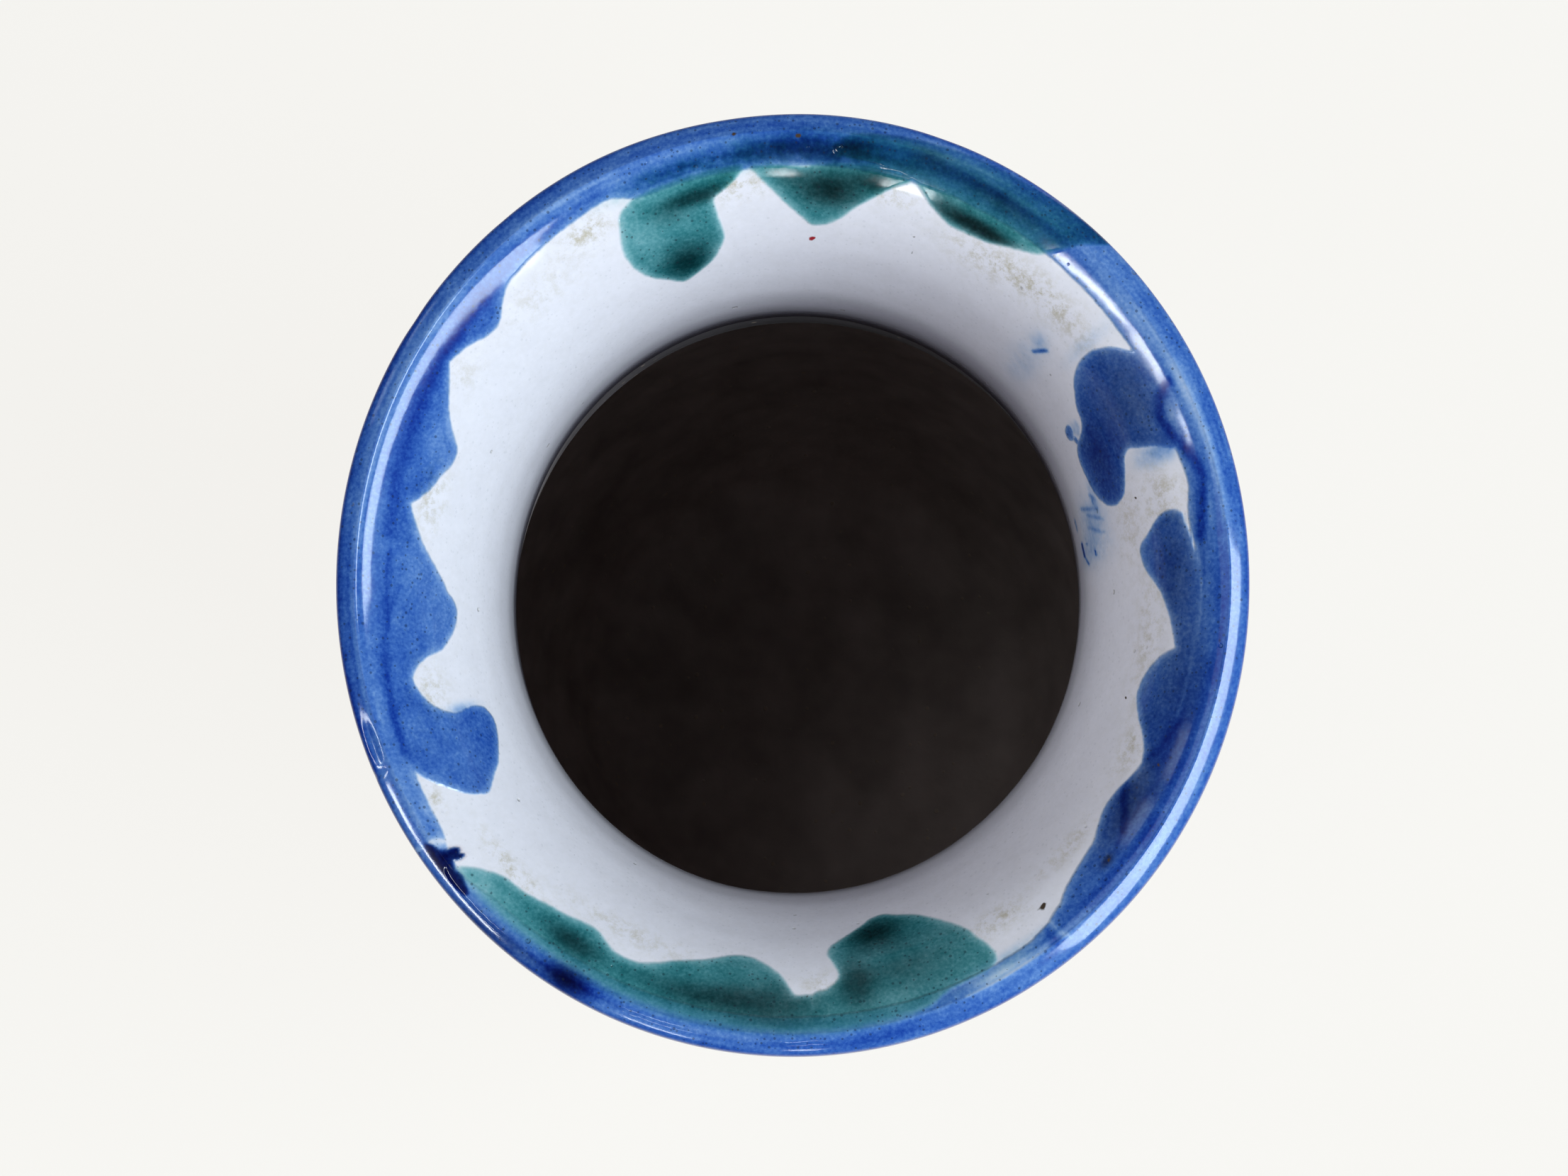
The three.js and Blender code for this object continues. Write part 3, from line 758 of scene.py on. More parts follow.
def paint_mouth(angle, s):
    """The paint's numbers at each point inside the mouth and over the lip. On the near side the green comes
    in softly over the blue of the crest."""
    blue_edge = np.minimum(round_line(angle, BAND_EDGE) - s, 4.0)
    for outline in BLUE_DABS.values():
        blue_edge = np.maximum(blue_edge, dab_field(angle, s, outline))
    blue_edge = np.maximum(blue_edge, dab_field(angle, s, DARK_DRIP))
    green_edge = np.full(s.shape, -4.0)
    for outline in GREEN_DABS.values():
        green_edge = np.maximum(green_edge, dab_field(angle, s, outline))
    near_side = smooth_step((math.radians(70.0) - np.abs(angle_gap(angle, 260.0))) / 0.4)
    under_green = smooth_step(green_edge / 1.0 + 0.5) * smooth_step((s - 5.0 + 1.7 * near_side) / 2.0)
    patches = 1 + 0.10 * unevenness(angle, s, 90, 3.3, 14) + 0.08 * unevenness(angle, s, 200, 1.4, 16)
    blue = band_load(angle, s) + heaped(angle, s, BLUE_POOLS) + stroke_load(angle, s, BLUE_STROKES)
    drip = smooth_step(dab_field(angle, s, DARK_DRIP, reach=2.0) / 0.7 + 0.5)
    blue = blue * (1 - (0.55 + 0.3 * near_side) * under_green) + 1.6 * drip
    green = (0.88 + heaped(angle, s, GREEN_POOLS)) * patches
    green = green * (1 - near_side * (1 - smooth_step((s - 3.3) / 2.9)))
    painted = smooth_step(np.maximum(blue_edge, green_edge) / 0.8 + 0.3)
    dark = heaped(angle, s, DARK_POOLS) * painted + 0.9 * drip
    return {
        "blue_edge": blue_edge,
        "green_edge": green_edge,
        "blue_load": np.maximum(blue, 0.12),
        "green_load": np.maximum(green, 0.0),
        "green_wash": heaped(angle, s, GREEN_WASHES),
        "blue_wash": heaped(angle, s, BLUE_SMUDGES) + stroke_load(angle, s, BLUE_SMEARS),
        "dark_load": np.maximum(dark, 0.0),
        # painted shade: the lining darkened near the throat
        "painted_shade_amount": painted_shade_amount(angle, s),
        "stain": heaped(angle, s, STAINS),
        "bare": chips(angle, s),
        "fleck": flecks(angle, s, FLECKS),
        "red_fleck": flecks(angle, s, RED_FLECK),
    }


# %% [markdown]
# ## The two coats of the mouth
# The blue over the lip and the white lining are two coats that were fired into one skin. They are two closed
# shells here, each in place of its solid, and they share their ring of points where they meet. Their normals
# come from the pot itself, so the light runs across the seam without a step.

# %% A coat of glaze as a closed shell
def coat(name, rows, columns, back_rows=8, tapers=(False, False)):
    """A shell whose face has a ring of points at each of the rows, places s in millimetres, and whose back
    lies on the clay, in rows close enough to stay under the face where the section is hollow. Where an end tapers, the face comes down to the clay over the last millimetre."""
    angle = np.linspace(0.0, 2 * math.pi, columns, endpoint=False)[None, :]
    s_face = np.reshape(rows, (-1, 1))
    s_back = np.linspace(rows[-1], rows[0], back_rows)[:, None]
    sunk = np.zeros_like(s_face)
    if tapers[0]:
        sunk = np.maximum(sunk, 1 - np.sqrt(np.clip((s_face - rows[0]) / 1.1, 0.0, 1.0)))
    if tapers[1]:
        sunk = np.maximum(sunk, 1 - np.sqrt(np.clip((rows[-1] - s_face) / 1.1, 0.0, 1.0)))
    front = pot(angle, s_face, depth=sunk * (GLAZE - 0.06))
    back = pot(angle, s_back, depth=GLAZE, relief_share=0.0)
    points = np.concatenate([front, back]).reshape(-1, 3)
    normals = np.concatenate([pot_normal(angle, s_face), -pot_normal(angle, s_back, relief_share=0.0)])
    piece = mesh_object(name, points, ring_faces(len(rows) + back_rows, columns, True), normals=normals)
    angles = np.broadcast_to(angle, (len(rows) + back_rows, columns))
    places = np.broadcast_to(np.concatenate([s_face, s_back]), angles.shape)
    return piece, angles, places


def rows_between(*stretches):
    """Places along the section in stretches of (start, count), the last one given by its end alone."""
    starts = [start for start, count in stretches]
    counts = [count for start, count in stretches[:-1]]
    runs = [np.linspace(a, b, n, endpoint=False) for a, b, n in zip(starts[:-1], starts[1:], counts)]
    return np.concatenate(runs + [[starts[-1]]])


COLUMNS = 1024
lip_rows = rows_between((S_BLUE_OUT, 17), (0.6, 23), (3.9, 14), (4.6, 10), (6.0, 16), (S_BLUE_IN, 1))
mouth_rows = rows_between((S_BLUE_IN, 42), (25.0, 28), (36.0, 14), (S_LINING, 1))
lip_coat, lip_angles, lip_places = coat("lip_glaze_skin", lip_rows, COLUMNS, 14)
mouth_coat, mouth_angles, mouth_places = coat("mouth_glaze_skin", mouth_rows, COLUMNS, tapers=(False, True))
for piece, angles, places in ((lip_coat, lip_angles, lip_places), (mouth_coat, mouth_angles, mouth_places)):
    for key, values in paint_mouth(angles, places).items():
        store(piece, key, values)
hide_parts("lip_glaze")
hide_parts("mouth_glaze")

# %% [markdown]
# ## The outside
# The picture shows the vase only from above. Outside, the blue of the lip ends in dabs like those inside, and
# plain brushed lines of the same blue go round the shoulder and above the foot, as country potters band a pot.

# %% Paint of the outside
OUTER_COLUMNS = 384


def paint_outside(angle, s):
    """The blue band's lower edge with round dabs, and three plain brushed lines round the pot."""
    height = section_at(s, 0.0)[1]
    wobble = 0.35 * unevenness(angle, s * 0.0, 14, 5.0, 31)
    edge = s + 9.5 + wobble
    for turn in range(14):
        middle = 360.0 / 14 * turn + 5.0 * math.sin(2.4 * turn)
        length = 9.0 + 3.0 * math.sin(1.7 * turn + 0.6)
        x = angle_gap(angle, middle) * 45.0
        y = s + 9.0
        across = 6.2 + 0.9 * math.sin(3.1 * turn)
        drop = 1.0 - np.sqrt((x / across) ** 2 + (np.minimum(y, 0.0) / length) ** 2)
        edge = np.maximum(edge, drop * 5.0)
    for level, half in ((166.5, 1.5), (161.5, 1.0), (20.0, 1.7)):
        line = level + 0.5 * unevenness(angle, s * 0.0, 7, 5.0, 40 + int(level))
        swell = half * (1 + 0.25 * unevenness(angle, s * 0.0, 12, 5.0, 50 + int(level)))
        edge = np.maximum(edge, swell - np.abs(height - line))
    streaks = 0.16 * unevenness(angle, s, 10, 1.6, 33) + 0.1 * unevenness(angle, s, 60, 6.0, 34)
    return {
        "blue_edge": np.clip(edge, -4.0, 4.0),
        "green_edge": np.full(s.shape, -4.0),
        "blue_load": 0.95 + streaks,
        "green_load": np.full(s.shape, 0.9),
        "green_wash": np.zeros(s.shape),
        "blue_wash": np.zeros(s.shape),
        "dark_load": np.zeros(s.shape),
        "painted_shade_amount": np.zeros(s.shape),
        "stain": np.zeros(s.shape),
        "bare": chips(angle, s),
    }


outer_rows = rows_between((S_GLAZE_FOOT, 190), (S_BLUE_OUT, 1))
outer_coat, outer_angles, outer_places = coat("outer_glaze_skin", outer_rows, OUTER_COLUMNS, 60, tapers=(True, False))
for key, values in paint_outside(outer_angles, outer_places).items():
    store(outer_coat, key, values)
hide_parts("outer_glaze")

# %% [markdown]
# ## The bare clay
# The body shows its clay inside, below the lining, and outside, in a strip above the foot. It is one closed
# surface of revolution: from the middle of the underside, up the outside, over the collar with its tongue,
# down the inside and back to the axis on the floor. The neck's clay is hidden under its glazes, so its solid
# stays and only gets the material.

# %% The body as one turned surface
TONGUE_WIDTH = 2.4
TONGUE_DEPTH = 3.0
TONGUE_TAPER = 0.5
BODY_COLUMNS = 384


def body_section():
    """Rows of the body's section as (radius, height, s, relief share), from the axis below to the axis above."""
    under = np.linspace(0.4, FOOT_RADIUS, 16)
    rows = [(radius, FOOT_HEIGHT, S_FOOT, 0.0) for radius in under]
    strip = np.linspace(S_FOOT + 0.3, S_GLAZE_FOOT + 0.3, 12)
    hidden = np.linspace(S_GLAZE_FOOT + 6.0, S_NECK_FOOT, 24)
    for s, share in [(s, 0.4) for s in strip] + [(s, 0.0) for s in hidden]:
        rows.append((*section_at(s, GLAZE), s, share))
    middle = (NECK_INSIDE + NECK_OUTSIDE) / 2
    tip = THROAT_HEIGHT - TONGUE_DEPTH
    half = TONGUE_WIDTH / 2
    corners = [(half, THROAT_HEIGHT), (half - TONGUE_TAPER, tip), (TONGUE_TAPER - half, tip), (-half, THROAT_HEIGHT)]
    rows += [(middle + offset, height, S_THROAT, 0.0) for offset, height in corners]
    for s in np.linspace(S_THROAT, S_FLOOR - 0.4, 156):
        share = float(smooth_step((s - S_LINING + 1.5) / 3.0))
        rows.append((*section_at(s, GLAZE), s, share))
    return np.array(rows, float)


section = body_section()
angle = np.linspace(0.0, 2 * math.pi, BODY_COLUMNS, endpoint=False)[None, :]
section_s = section[:, 2:3]
lifted = relief(angle, section_s) * section[:, 3:4]
radius, height = section_at(section_s, GLAZE - lifted)
on_wall = section[:, 3:4] > 0
radius = np.where(on_wall, radius, section[:, 0:1])
height = np.where(on_wall, height, section[:, 1:2])
rings = pressed(np.broadcast_to(angle, radius.shape), radius, height).reshape(-1, 3)
poles = np.array([[0.0, 0.0, FOOT_HEIGHT], [0.0, 0.0, float(height[-1].mean())]]) * MM
row_count = len(section)
body_faces = ring_faces(row_count, BODY_COLUMNS, False)
body_caps = np.concatenate([
    cap_faces(0, row_count * BODY_COLUMNS, BODY_COLUMNS, False),
    cap_faces((row_count - 1) * BODY_COLUMNS, row_count * BODY_COLUMNS + 1, BODY_COLUMNS, True),
])
body_clay = mesh_object("body_clay", np.concatenate([rings, poles]), body_faces, body_caps)
inside_share = np.repeat(smooth_step((section_s - S_THROAT) / 3.0).ravel(), BODY_COLUMNS)
store(body_clay, "inside", np.concatenate([inside_share, [0.0, 1.0]]))
# Painted shade inside the body below the throat, weaker on the left wall where the window on the right lights it:
# painted light there.
below_throat = smooth_step((section_s - S_THROAT) / 3.0) * (1 - smooth_step((section_s - S_LINING - 18.0) / 40.0))
lit_side = 1 - 0.75 * hump(angle_gap(angle, 172.0), 0.0, 0.7)
body_painted_shade = (2.4 * below_throat * lit_side).ravel()
store(body_clay, "painted_shade_amount", np.concatenate([body_painted_shade, [0.0, 0.0]]))
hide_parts("body")

# %% The foot ring, trimmed on the wheel
FOOT_COLUMNS = 256
FOOT_TAPER = 1.0
FOOT_ROUNDING = 1.2


def foot_section():
    """A closed loop from the inside of the standing face, round the outside and back down the inside."""
    inside = FOOT_RADIUS - FOOT_WIDTH
    standing = FOOT_RADIUS - FOOT_TAPER
    face_under = [(radius, 0.0) for radius in np.linspace(inside + FOOT_TAPER, standing - FOOT_ROUNDING, 8)]
    turn = [
        (
            standing - FOOT_ROUNDING * (1 - math.sin(step)),
            FOOT_ROUNDING * (1 - math.cos(step)),
        )
        for step in np.linspace(0.2, math.pi / 2, 7)
    ]
    side = [
        (standing + FOOT_TAPER * share, FOOT_ROUNDING + (FOOT_HEIGHT - FOOT_ROUNDING) * share)
        for share in np.linspace(0.08, 1.0, 14)
    ]
    top = [(radius, FOOT_HEIGHT) for radius in np.linspace(FOOT_RADIUS - 1.0, inside, 5)]
    wall = [(inside, height) for height in np.linspace(FOOT_HEIGHT - 0.5, FOOT_ROUNDING, 8)]
    edge = [(inside + FOOT_TAPER * share, FOOT_ROUNDING * (1 - share)) for share in (0.3, 0.6, 0.85)]
    return np.array(face_under + turn + side + top + wall + edge)


foot = foot_section()
angle = np.linspace(0.0, 2 * math.pi, FOOT_COLUMNS, endpoint=False)[None, :]
foot_radius = np.broadcast_to(foot[:, 0:1], (len(foot), FOOT_COLUMNS))
foot_height = np.broadcast_to(foot[:, 1:2], (len(foot), FOOT_COLUMNS))
foot_points = pressed(np.broadcast_to(angle, foot_radius.shape), foot_radius, foot_height).reshape(-1, 3)
foot_clay = mesh_object("foot_ring_clay", foot_points, ring_faces(len(foot), FOOT_COLUMNS, True))
foot_clay.data.set_sharp_from_angle(angle=math.radians(40))
store(foot_clay, "inside", np.zeros(len(foot_points)))
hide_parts("foot_ring")

# %% [markdown]
# ## Node helpers
# A material is a small graph. Two helpers keep the graphs short: one adds a node with its settings, the other
# feeds a socket, by a link or by a plain value.

# %% Add nodes and feed their sockets
def node(tree, kind, inputs=(), **settings):
    """A new node of that kind, with settings as attributes and inputs as (socket, value or output) pairs."""
    made = tree.nodes.new("ShaderNode" + kind)
    for key, value in settings.items():
        setattr(made, key, value)
    for socket, value in dict(inputs).items():
        feed(tree, made.inputs[socket], value)
    return made


def feed(tree, socket, value):
    """Links an output to a socket, or sets the socket's own value."""
    if isinstance(value, bpy.types.NodeSocket):
        tree.links.new(value, socket)
    else:
        socket.default_value = value


def math_node(tree, operation, first, second=0.0, third=0.0, clamp=False):
    """One step of arithmetic on numbers."""
    inputs = {0: first, 1: second, 2: third}
    return node(tree, "Math", inputs, operation=operation, use_clamp=clamp).outputs[0]


def multiply_colours(tree, first, second):
    """Two colours multiplied channel by channel."""
    mixed = node(tree, "Mix", data_type="RGBA", blend_type="MULTIPLY", clamp_result=False)
    feed(tree, mixed.inputs[0], 1.0)
    feed(tree, mixed.inputs[6], first)
    feed(tree, mixed.inputs[7], second)
    return mixed.outputs[2]


def blend_colours(tree, share, first, second):
    """The first colour where the share is 0, the second where it is 1."""
    mixed = node(tree, "Mix", data_type="RGBA")
    feed(tree, mixed.inputs[0], share)
    feed(tree, mixed.inputs[6], first)
    feed(tree, mixed.inputs[7], second)
    return mixed.outputs[2]


def group_tree(name, inputs, outputs):
    """An empty node group with named sockets: (name, kind, default) going in and (name, kind) coming out."""
    tree = bpy.data.node_groups.new(name, "ShaderNodeTree")
    for label, kind, default in inputs:
        socket = tree.interface.new_socket(label, in_out="INPUT", socket_type="NodeSocket" + kind)
        socket.default_value = default
    for label, kind in outputs:
        tree.interface.new_socket(label, in_out="OUTPUT", socket_type="NodeSocket" + kind)
    return tree, tree.nodes.new("NodeGroupInput"), tree.nodes.new("NodeGroupOutput")


def use_group(tree, group, inputs=()):
    """A group placed in a material with its own values."""
    placed = node(tree, "Group")
    placed.node_tree = group
    for socket, value in dict(inputs).items():
        feed(tree, placed.inputs[socket], value)
    return placed


# %% [markdown]
# ## Groups: grain and specks
# Fired pigment is never smooth: it gathers in grains of a few tenths of a millimetre. And earthenware spits
# through its glaze, which leaves pinholes and dark specks. Glaze and clay both use these two groups, each with
# its own scale, so they are made once.

# %% Grain: two sizes of noise added up, from -1 to 1
def grain_group():
    tree, inside, outside = group_tree(
        "Fired grain",
        [("Scale", "Float", 2000.0), ("Coarse Share", "Float", 0.5)],
        [("Value", "Float")],
    )
    place = node(tree, "TexCoord").outputs["Object"]
    fine = node(tree, "TexNoise", {"Vector": place, "Scale": inside.outputs["Scale"], "Detail": 2.0})
    wide_scale = math_node(tree, "MULTIPLY", inside.outputs["Scale"], 0.22)
    wide = node(tree, "TexNoise", {"Vector": place, "Scale": wide_scale, "Detail": 3.0})
    blend = math_node(tree, "SUBTRACT", wide.outputs["Fac"], fine.outputs["Fac"])
    mixed = math_node(tree, "MULTIPLY_ADD", blend, inside.outputs["Coarse Share"], fine.outputs["Fac"])
    spread = math_node(tree, "MULTIPLY_ADD", mixed, 4.0, -2.0)
    feed(tree, outside.inputs["Value"], spread)
    return tree


grain = grain_group()

# %% Specks: round dots in a share of the cells of a Voronoi texture
def specks_group():
    tree, inside, outside = group_tree(
        "Specks",
        [("Scale", "Float", 600.0), ("Radius", "Float", 0.15), ("Share", "Float", 0.2)],
        [("Mask", "Float")],
    )
    place = node(tree, "TexCoord").outputs["Object"]
    cells = node(tree, "TexVoronoi", {"Vector": place, "Scale": inside.outputs["Scale"]})
    chance = node(tree, "SeparateColor", {"Color": cells.outputs["Color"]})
    size = math_node(tree, "MULTIPLY", inside.outputs["Radius"], chance.outputs["Green"])
    dot = math_node(tree, "SUBTRACT", size, cells.outputs["Distance"])
    dot = math_node(tree, "MULTIPLY", dot, 14.0, clamp=True)
    chosen = math_node(tree, "LESS_THAN", chance.outputs["Red"], inside.outputs["Share"])
    feed(tree, outside.inputs["Mask"], math_node(tree, "MULTIPLY", dot, chosen))
    return tree


specks = specks_group()
print("groups:", grain.name, "and", specks.name)

# %% [markdown]
# ## Groups: pigment
# A stain in clear glaze takes a share of the light for every bit of its thickness. So its colour at load 1,
# raised to the power of the load, gives the colour at any load, and a Gamma node does just that for the three
# channels. Pigments that lie over each other multiply. The same group serves blue, green and dark.

# %% Pigment: the edge of a dab turned into a mask, and the mask and load into a colour
def pigment_group():
    tree, inside, outside = group_tree(
        "Pigment",
        [
            ("Edge", "Float", 0.0),
            ("Softness", "Float", 0.3),
            ("Raggedness", "Float", 0.2),
            ("Load", "Float", 1.0),
            ("Wash", "Float", 0.0),
            ("Mottle", "Float", 0.2),
            ("Grain Scale", "Float", 2200.0),
            ("Stain", "Color", (0.1, 0.2, 0.6, 1.0)),
        ],
        [("Colour", "Color"), ("Mask", "Float"), ("Amount", "Float")],
    )
    wander = use_group(tree, grain, {"Scale": 1100.0, "Coarse Share": 0.55}).outputs["Value"]
    edge = math_node(tree, "MULTIPLY_ADD", wander, inside.outputs["Raggedness"], inside.outputs["Edge"])
    mask = node(tree, "MapRange", interpolation_type="SMOOTHSTEP")
    feed(tree, mask.inputs["Value"], edge)
    feed(tree, mask.inputs["From Min"], math_node(tree, "MULTIPLY", inside.outputs["Softness"], -1.0))
    feed(tree, mask.inputs["From Max"], inside.outputs["Softness"])
    thick = node(tree, "MapRange", {"Value": edge, "From Min": -0.3, "From Max": 1.1, "To Min": 0.40})
    mottle = use_group(tree, grain, {"Scale": inside.outputs["Grain Scale"], "Coarse Share": 0.35})
    mottle = math_node(tree, "MULTIPLY_ADD", mottle.outputs["Value"], inside.outputs["Mottle"], 1.0)
    amount = math_node(tree, "MULTIPLY", inside.outputs["Load"], mask.outputs["Result"])
    amount = math_node(tree, "MULTIPLY", amount, thick.outputs["Result"])
    amount = math_node(tree, "MULTIPLY", amount, mottle)
    patchy = math_node(tree, "MAXIMUM", math_node(tree, "MULTIPLY_ADD", wander, 0.9, 1.0), 0.0)
    amount = math_node(tree, "MULTIPLY_ADD", inside.outputs["Wash"], patchy, amount)
    amount = math_node(tree, "MAXIMUM", amount, 0.0001)
    colour = node(tree, "Gamma", {"Color": inside.outputs["Stain"], "Gamma": amount})
    feed(tree, outside.inputs["Colour"], colour.outputs["Color"])
    feed(tree, outside.inputs["Mask"], mask.outputs["Result"])
    feed(tree, outside.inputs["Amount"], amount)
    return tree


pigment = pigment_group()

# %% [markdown]
# ## The painted glaze
# White tin glaze, with the pigments multiplied into it. It is glossy, with a faint wave in its face from the
# way it melted, and it stands a little thicker where it is painted, which a Bump node shows as a soft edge.
# The paint is seen darker in the vase's own reflections, through Is Glossy Ray, which keeps them faint.

# %% Material of the glazes
WHITE = (0.89, 0.845, 0.91, 1.0)
COBALT = (0.052, 0.165, 0.53, 1.0)
COPPER = (0.048, 0.26, 0.275, 1.0)
OXIDE = (0.42, 0.30, 0.30, 1.0)
TAN = (0.60, 0.53, 0.44, 1.0)
# The grey of the painted shade near the throat, raised to the power of its amount.
PAINTED_SHADE_GREY = (0.36, 0.355, 0.38, 1.0)


def attribute(tree, name):
    return node(tree, "Attribute", attribute_name=name).outputs["Fac"]


def painted_glaze():
    material = bpy.data.materials.new("painted_glaze")
    material.use_nodes = True
    tree = material.node_tree
    shader = tree.nodes["Principled BSDF"]
    blue = use_group(tree, pigment, {
        "Edge": attribute(tree, "blue_edge"), "Softness": 0.24, "Raggedness": 0.14,
        "Load": attribute(tree, "blue_load"), "Wash": attribute(tree, "blue_wash"),
        "Mottle": 0.34, "Grain Scale": 2300.0, "Stain": COBALT,
    })
    green = use_group(tree, pigment, {
        "Edge": attribute(tree, "green_edge"), "Softness": 0.32, "Raggedness": 0.12,
        "Load": attribute(tree, "green_load"), "Wash": attribute(tree, "green_wash"),
        "Mottle": 0.30, "Grain Scale": 2400.0, "Stain": COPPER,
    })
    dark = use_group(tree, pigment, {
        "Edge": 3.0, "Load": attribute(tree, "dark_load"), "Mottle": 0.3, "Grain Scale": 1500.0, "Stain": OXIDE,
    })
    mottled = use_group(tree, grain, {"Scale": 1500.0, "Coarse Share": 0.5}).outputs["Value"]
    shade = math_node(tree, "MULTIPLY_ADD", mottled, 0.045, 1.0)
    white = node(tree, "VectorMath", {0: WHITE[:3]}, operation="SCALE")
    feed(tree, white.inputs["Scale"], shade)
    pits = use_group(tree, specks, {"Scale": 520.0, "Radius": 0.22, "Share": 0.10}).outputs["Mask"]
    ground = blend_colours(tree, math_node(tree, "MULTIPLY", pits, 0.35), white.outputs[0], TAN)
    blotches = node(tree, "TexNoise", {
        "Vector": node(tree, "TexCoord").outputs["Object"], "Scale": 640.0, "Detail": 8.0, "Roughness": 0.8,
    })
    blotches = node(tree, "MapRange", {"Value": blotches.outputs["Fac"], "From Min": 0.46, "From Max": 0.62})
    stained = math_node(tree, "MULTIPLY_ADD", attribute(tree, "stain"), 1.1, 0.06)
    stained = math_node(tree, "MULTIPLY", stained, blotches.outputs["Result"], clamp=True)
    ground = blend_colours(tree, stained, ground, TAN)
    # Painted shade: the lining is darkened towards the throat by the stored amount.
    painted_shade_colour = math_node(tree, "MAXIMUM", attribute(tree, "painted_shade_amount"), 0.0001)
    painted_shade_colour = node(tree, "Gamma", {"Color": PAINTED_SHADE_GREY, "Gamma": painted_shade_colour})
    ground = multiply_colours(tree, ground, painted_shade_colour.outputs["Color"])
    colour = multiply_colours(tree, ground, blue.outputs["Colour"])
    colour = multiply_colours(tree, colour, green.outputs["Colour"])
    colour = multiply_colours(tree, colour, dark.outputs["Colour"])
    painted = math_node(tree, "ADD", blue.outputs["Mask"], green.outputs["Mask"], clamp=True)
    dots = use_group(tree, specks, {"Scale": 1900.0, "Radius": 0.40, "Share": 0.50}).outputs["Mask"]
    dots = math_node(tree, "MULTIPLY", dots, math_node(tree, "MULTIPLY_ADD", painted, 0.45, 0.08))
    colour = blend_colours(tree, dots, colour, (0.012, 0.02, 0.035, 1.0))
    spots = use_group(tree, specks, {"Scale": 420.0, "Radius": 0.11, "Share": 0.05}).outputs["Mask"]
    colour = blend_colours(tree, math_node(tree, "MULTIPLY", spots, 0.75), colour, (0.05, 0.035, 0.03, 1.0))
    fleck = node(tree, "MapRange", {"Value": attribute(tree, "fleck"), "From Min": 0.3, "From Max": 0.6})
    colour = blend_colours(tree, fleck.outputs["Result"], colour, (0.07, 0.045, 0.03, 1.0))
    fleck = node(tree, "MapRange", {"Value": attribute(tree, "red_fleck"), "From Min": 0.3, "From Max": 0.6})
    colour = blend_colours(tree, fleck.outputs["Result"], colour, (0.35, 0.02, 0.03, 1.0))
    ragged = math_node(tree, "MULTIPLY_ADD", mottled, 0.25, attribute(tree, "bare"))
    broken = node(tree, "MapRange", {"Value": ragged, "From Min": 0.45, "From Max": 0.6})
    pale = node(tree, "MapRange", {"Value": ragged, "From Min": 0.25, "From Max": 0.4, "To Max": 0.6})
    colour = blend_colours(tree, pale.outputs["Result"], colour, TAN)
    colour = blend_colours(tree, broken.outputs["Result"], colour, (0.12, 0.06, 0.035, 1.0))
    mirrored = math_node(tree, "MULTIPLY", node(tree, "LightPath").outputs["Is Glossy Ray"], 0.55)
    colour = blend_colours(tree, mirrored, colour, (0.02, 0.02, 0.02, 1.0))
    feed(tree, shader.inputs["Base Color"], colour)
    roughness = math_node(tree, "MULTIPLY_ADD", mottled, 0.015, 0.09)
    feed(tree, shader.inputs["Roughness"], roughness)
    shader.inputs["Specular IOR Level"].default_value = 0.32
    wave = use_group(tree, grain, {"Scale": 260.0, "Coarse Share": 0.5}).outputs["Value"]
    body = math_node(tree, "MULTIPLY", blue.outputs["Mask"], 0.10)
    body = math_node(tree, "MULTIPLY_ADD", green.outputs["Mask"], 0.08, body)
    raised = math_node(tree, "MULTIPLY_ADD", wave, 0.009, body)
    raised = math_node(tree, "MULTIPLY_ADD", pits, -0.12, raised)
    bump = node(tree, "Bump", {"Strength": 1.0, "Distance": MM, "Height": raised})
    feed(tree, shader.inputs["Normal"], bump.outputs["Normal"])
    return material


glaze_material = painted_glaze()
for piece in (lip_coat, mouth_coat, outer_coat):
    piece.data.materials.append(glaze_material)

# %% [markdown]
# ## The clay
# Bare earthenware is matt, red-brown and gritty. Inside the pot it is greyer, from slip and dust, and painted shade
# darkens it below the throat.

# %% Material of the clay
CLAY_LIGHT = (0.40, 0.21, 0.12, 1.0)
CLAY_DARK = (0.24, 0.11, 0.06, 1.0)
CLAY_INSIDE = (0.48, 0.42, 0.405)


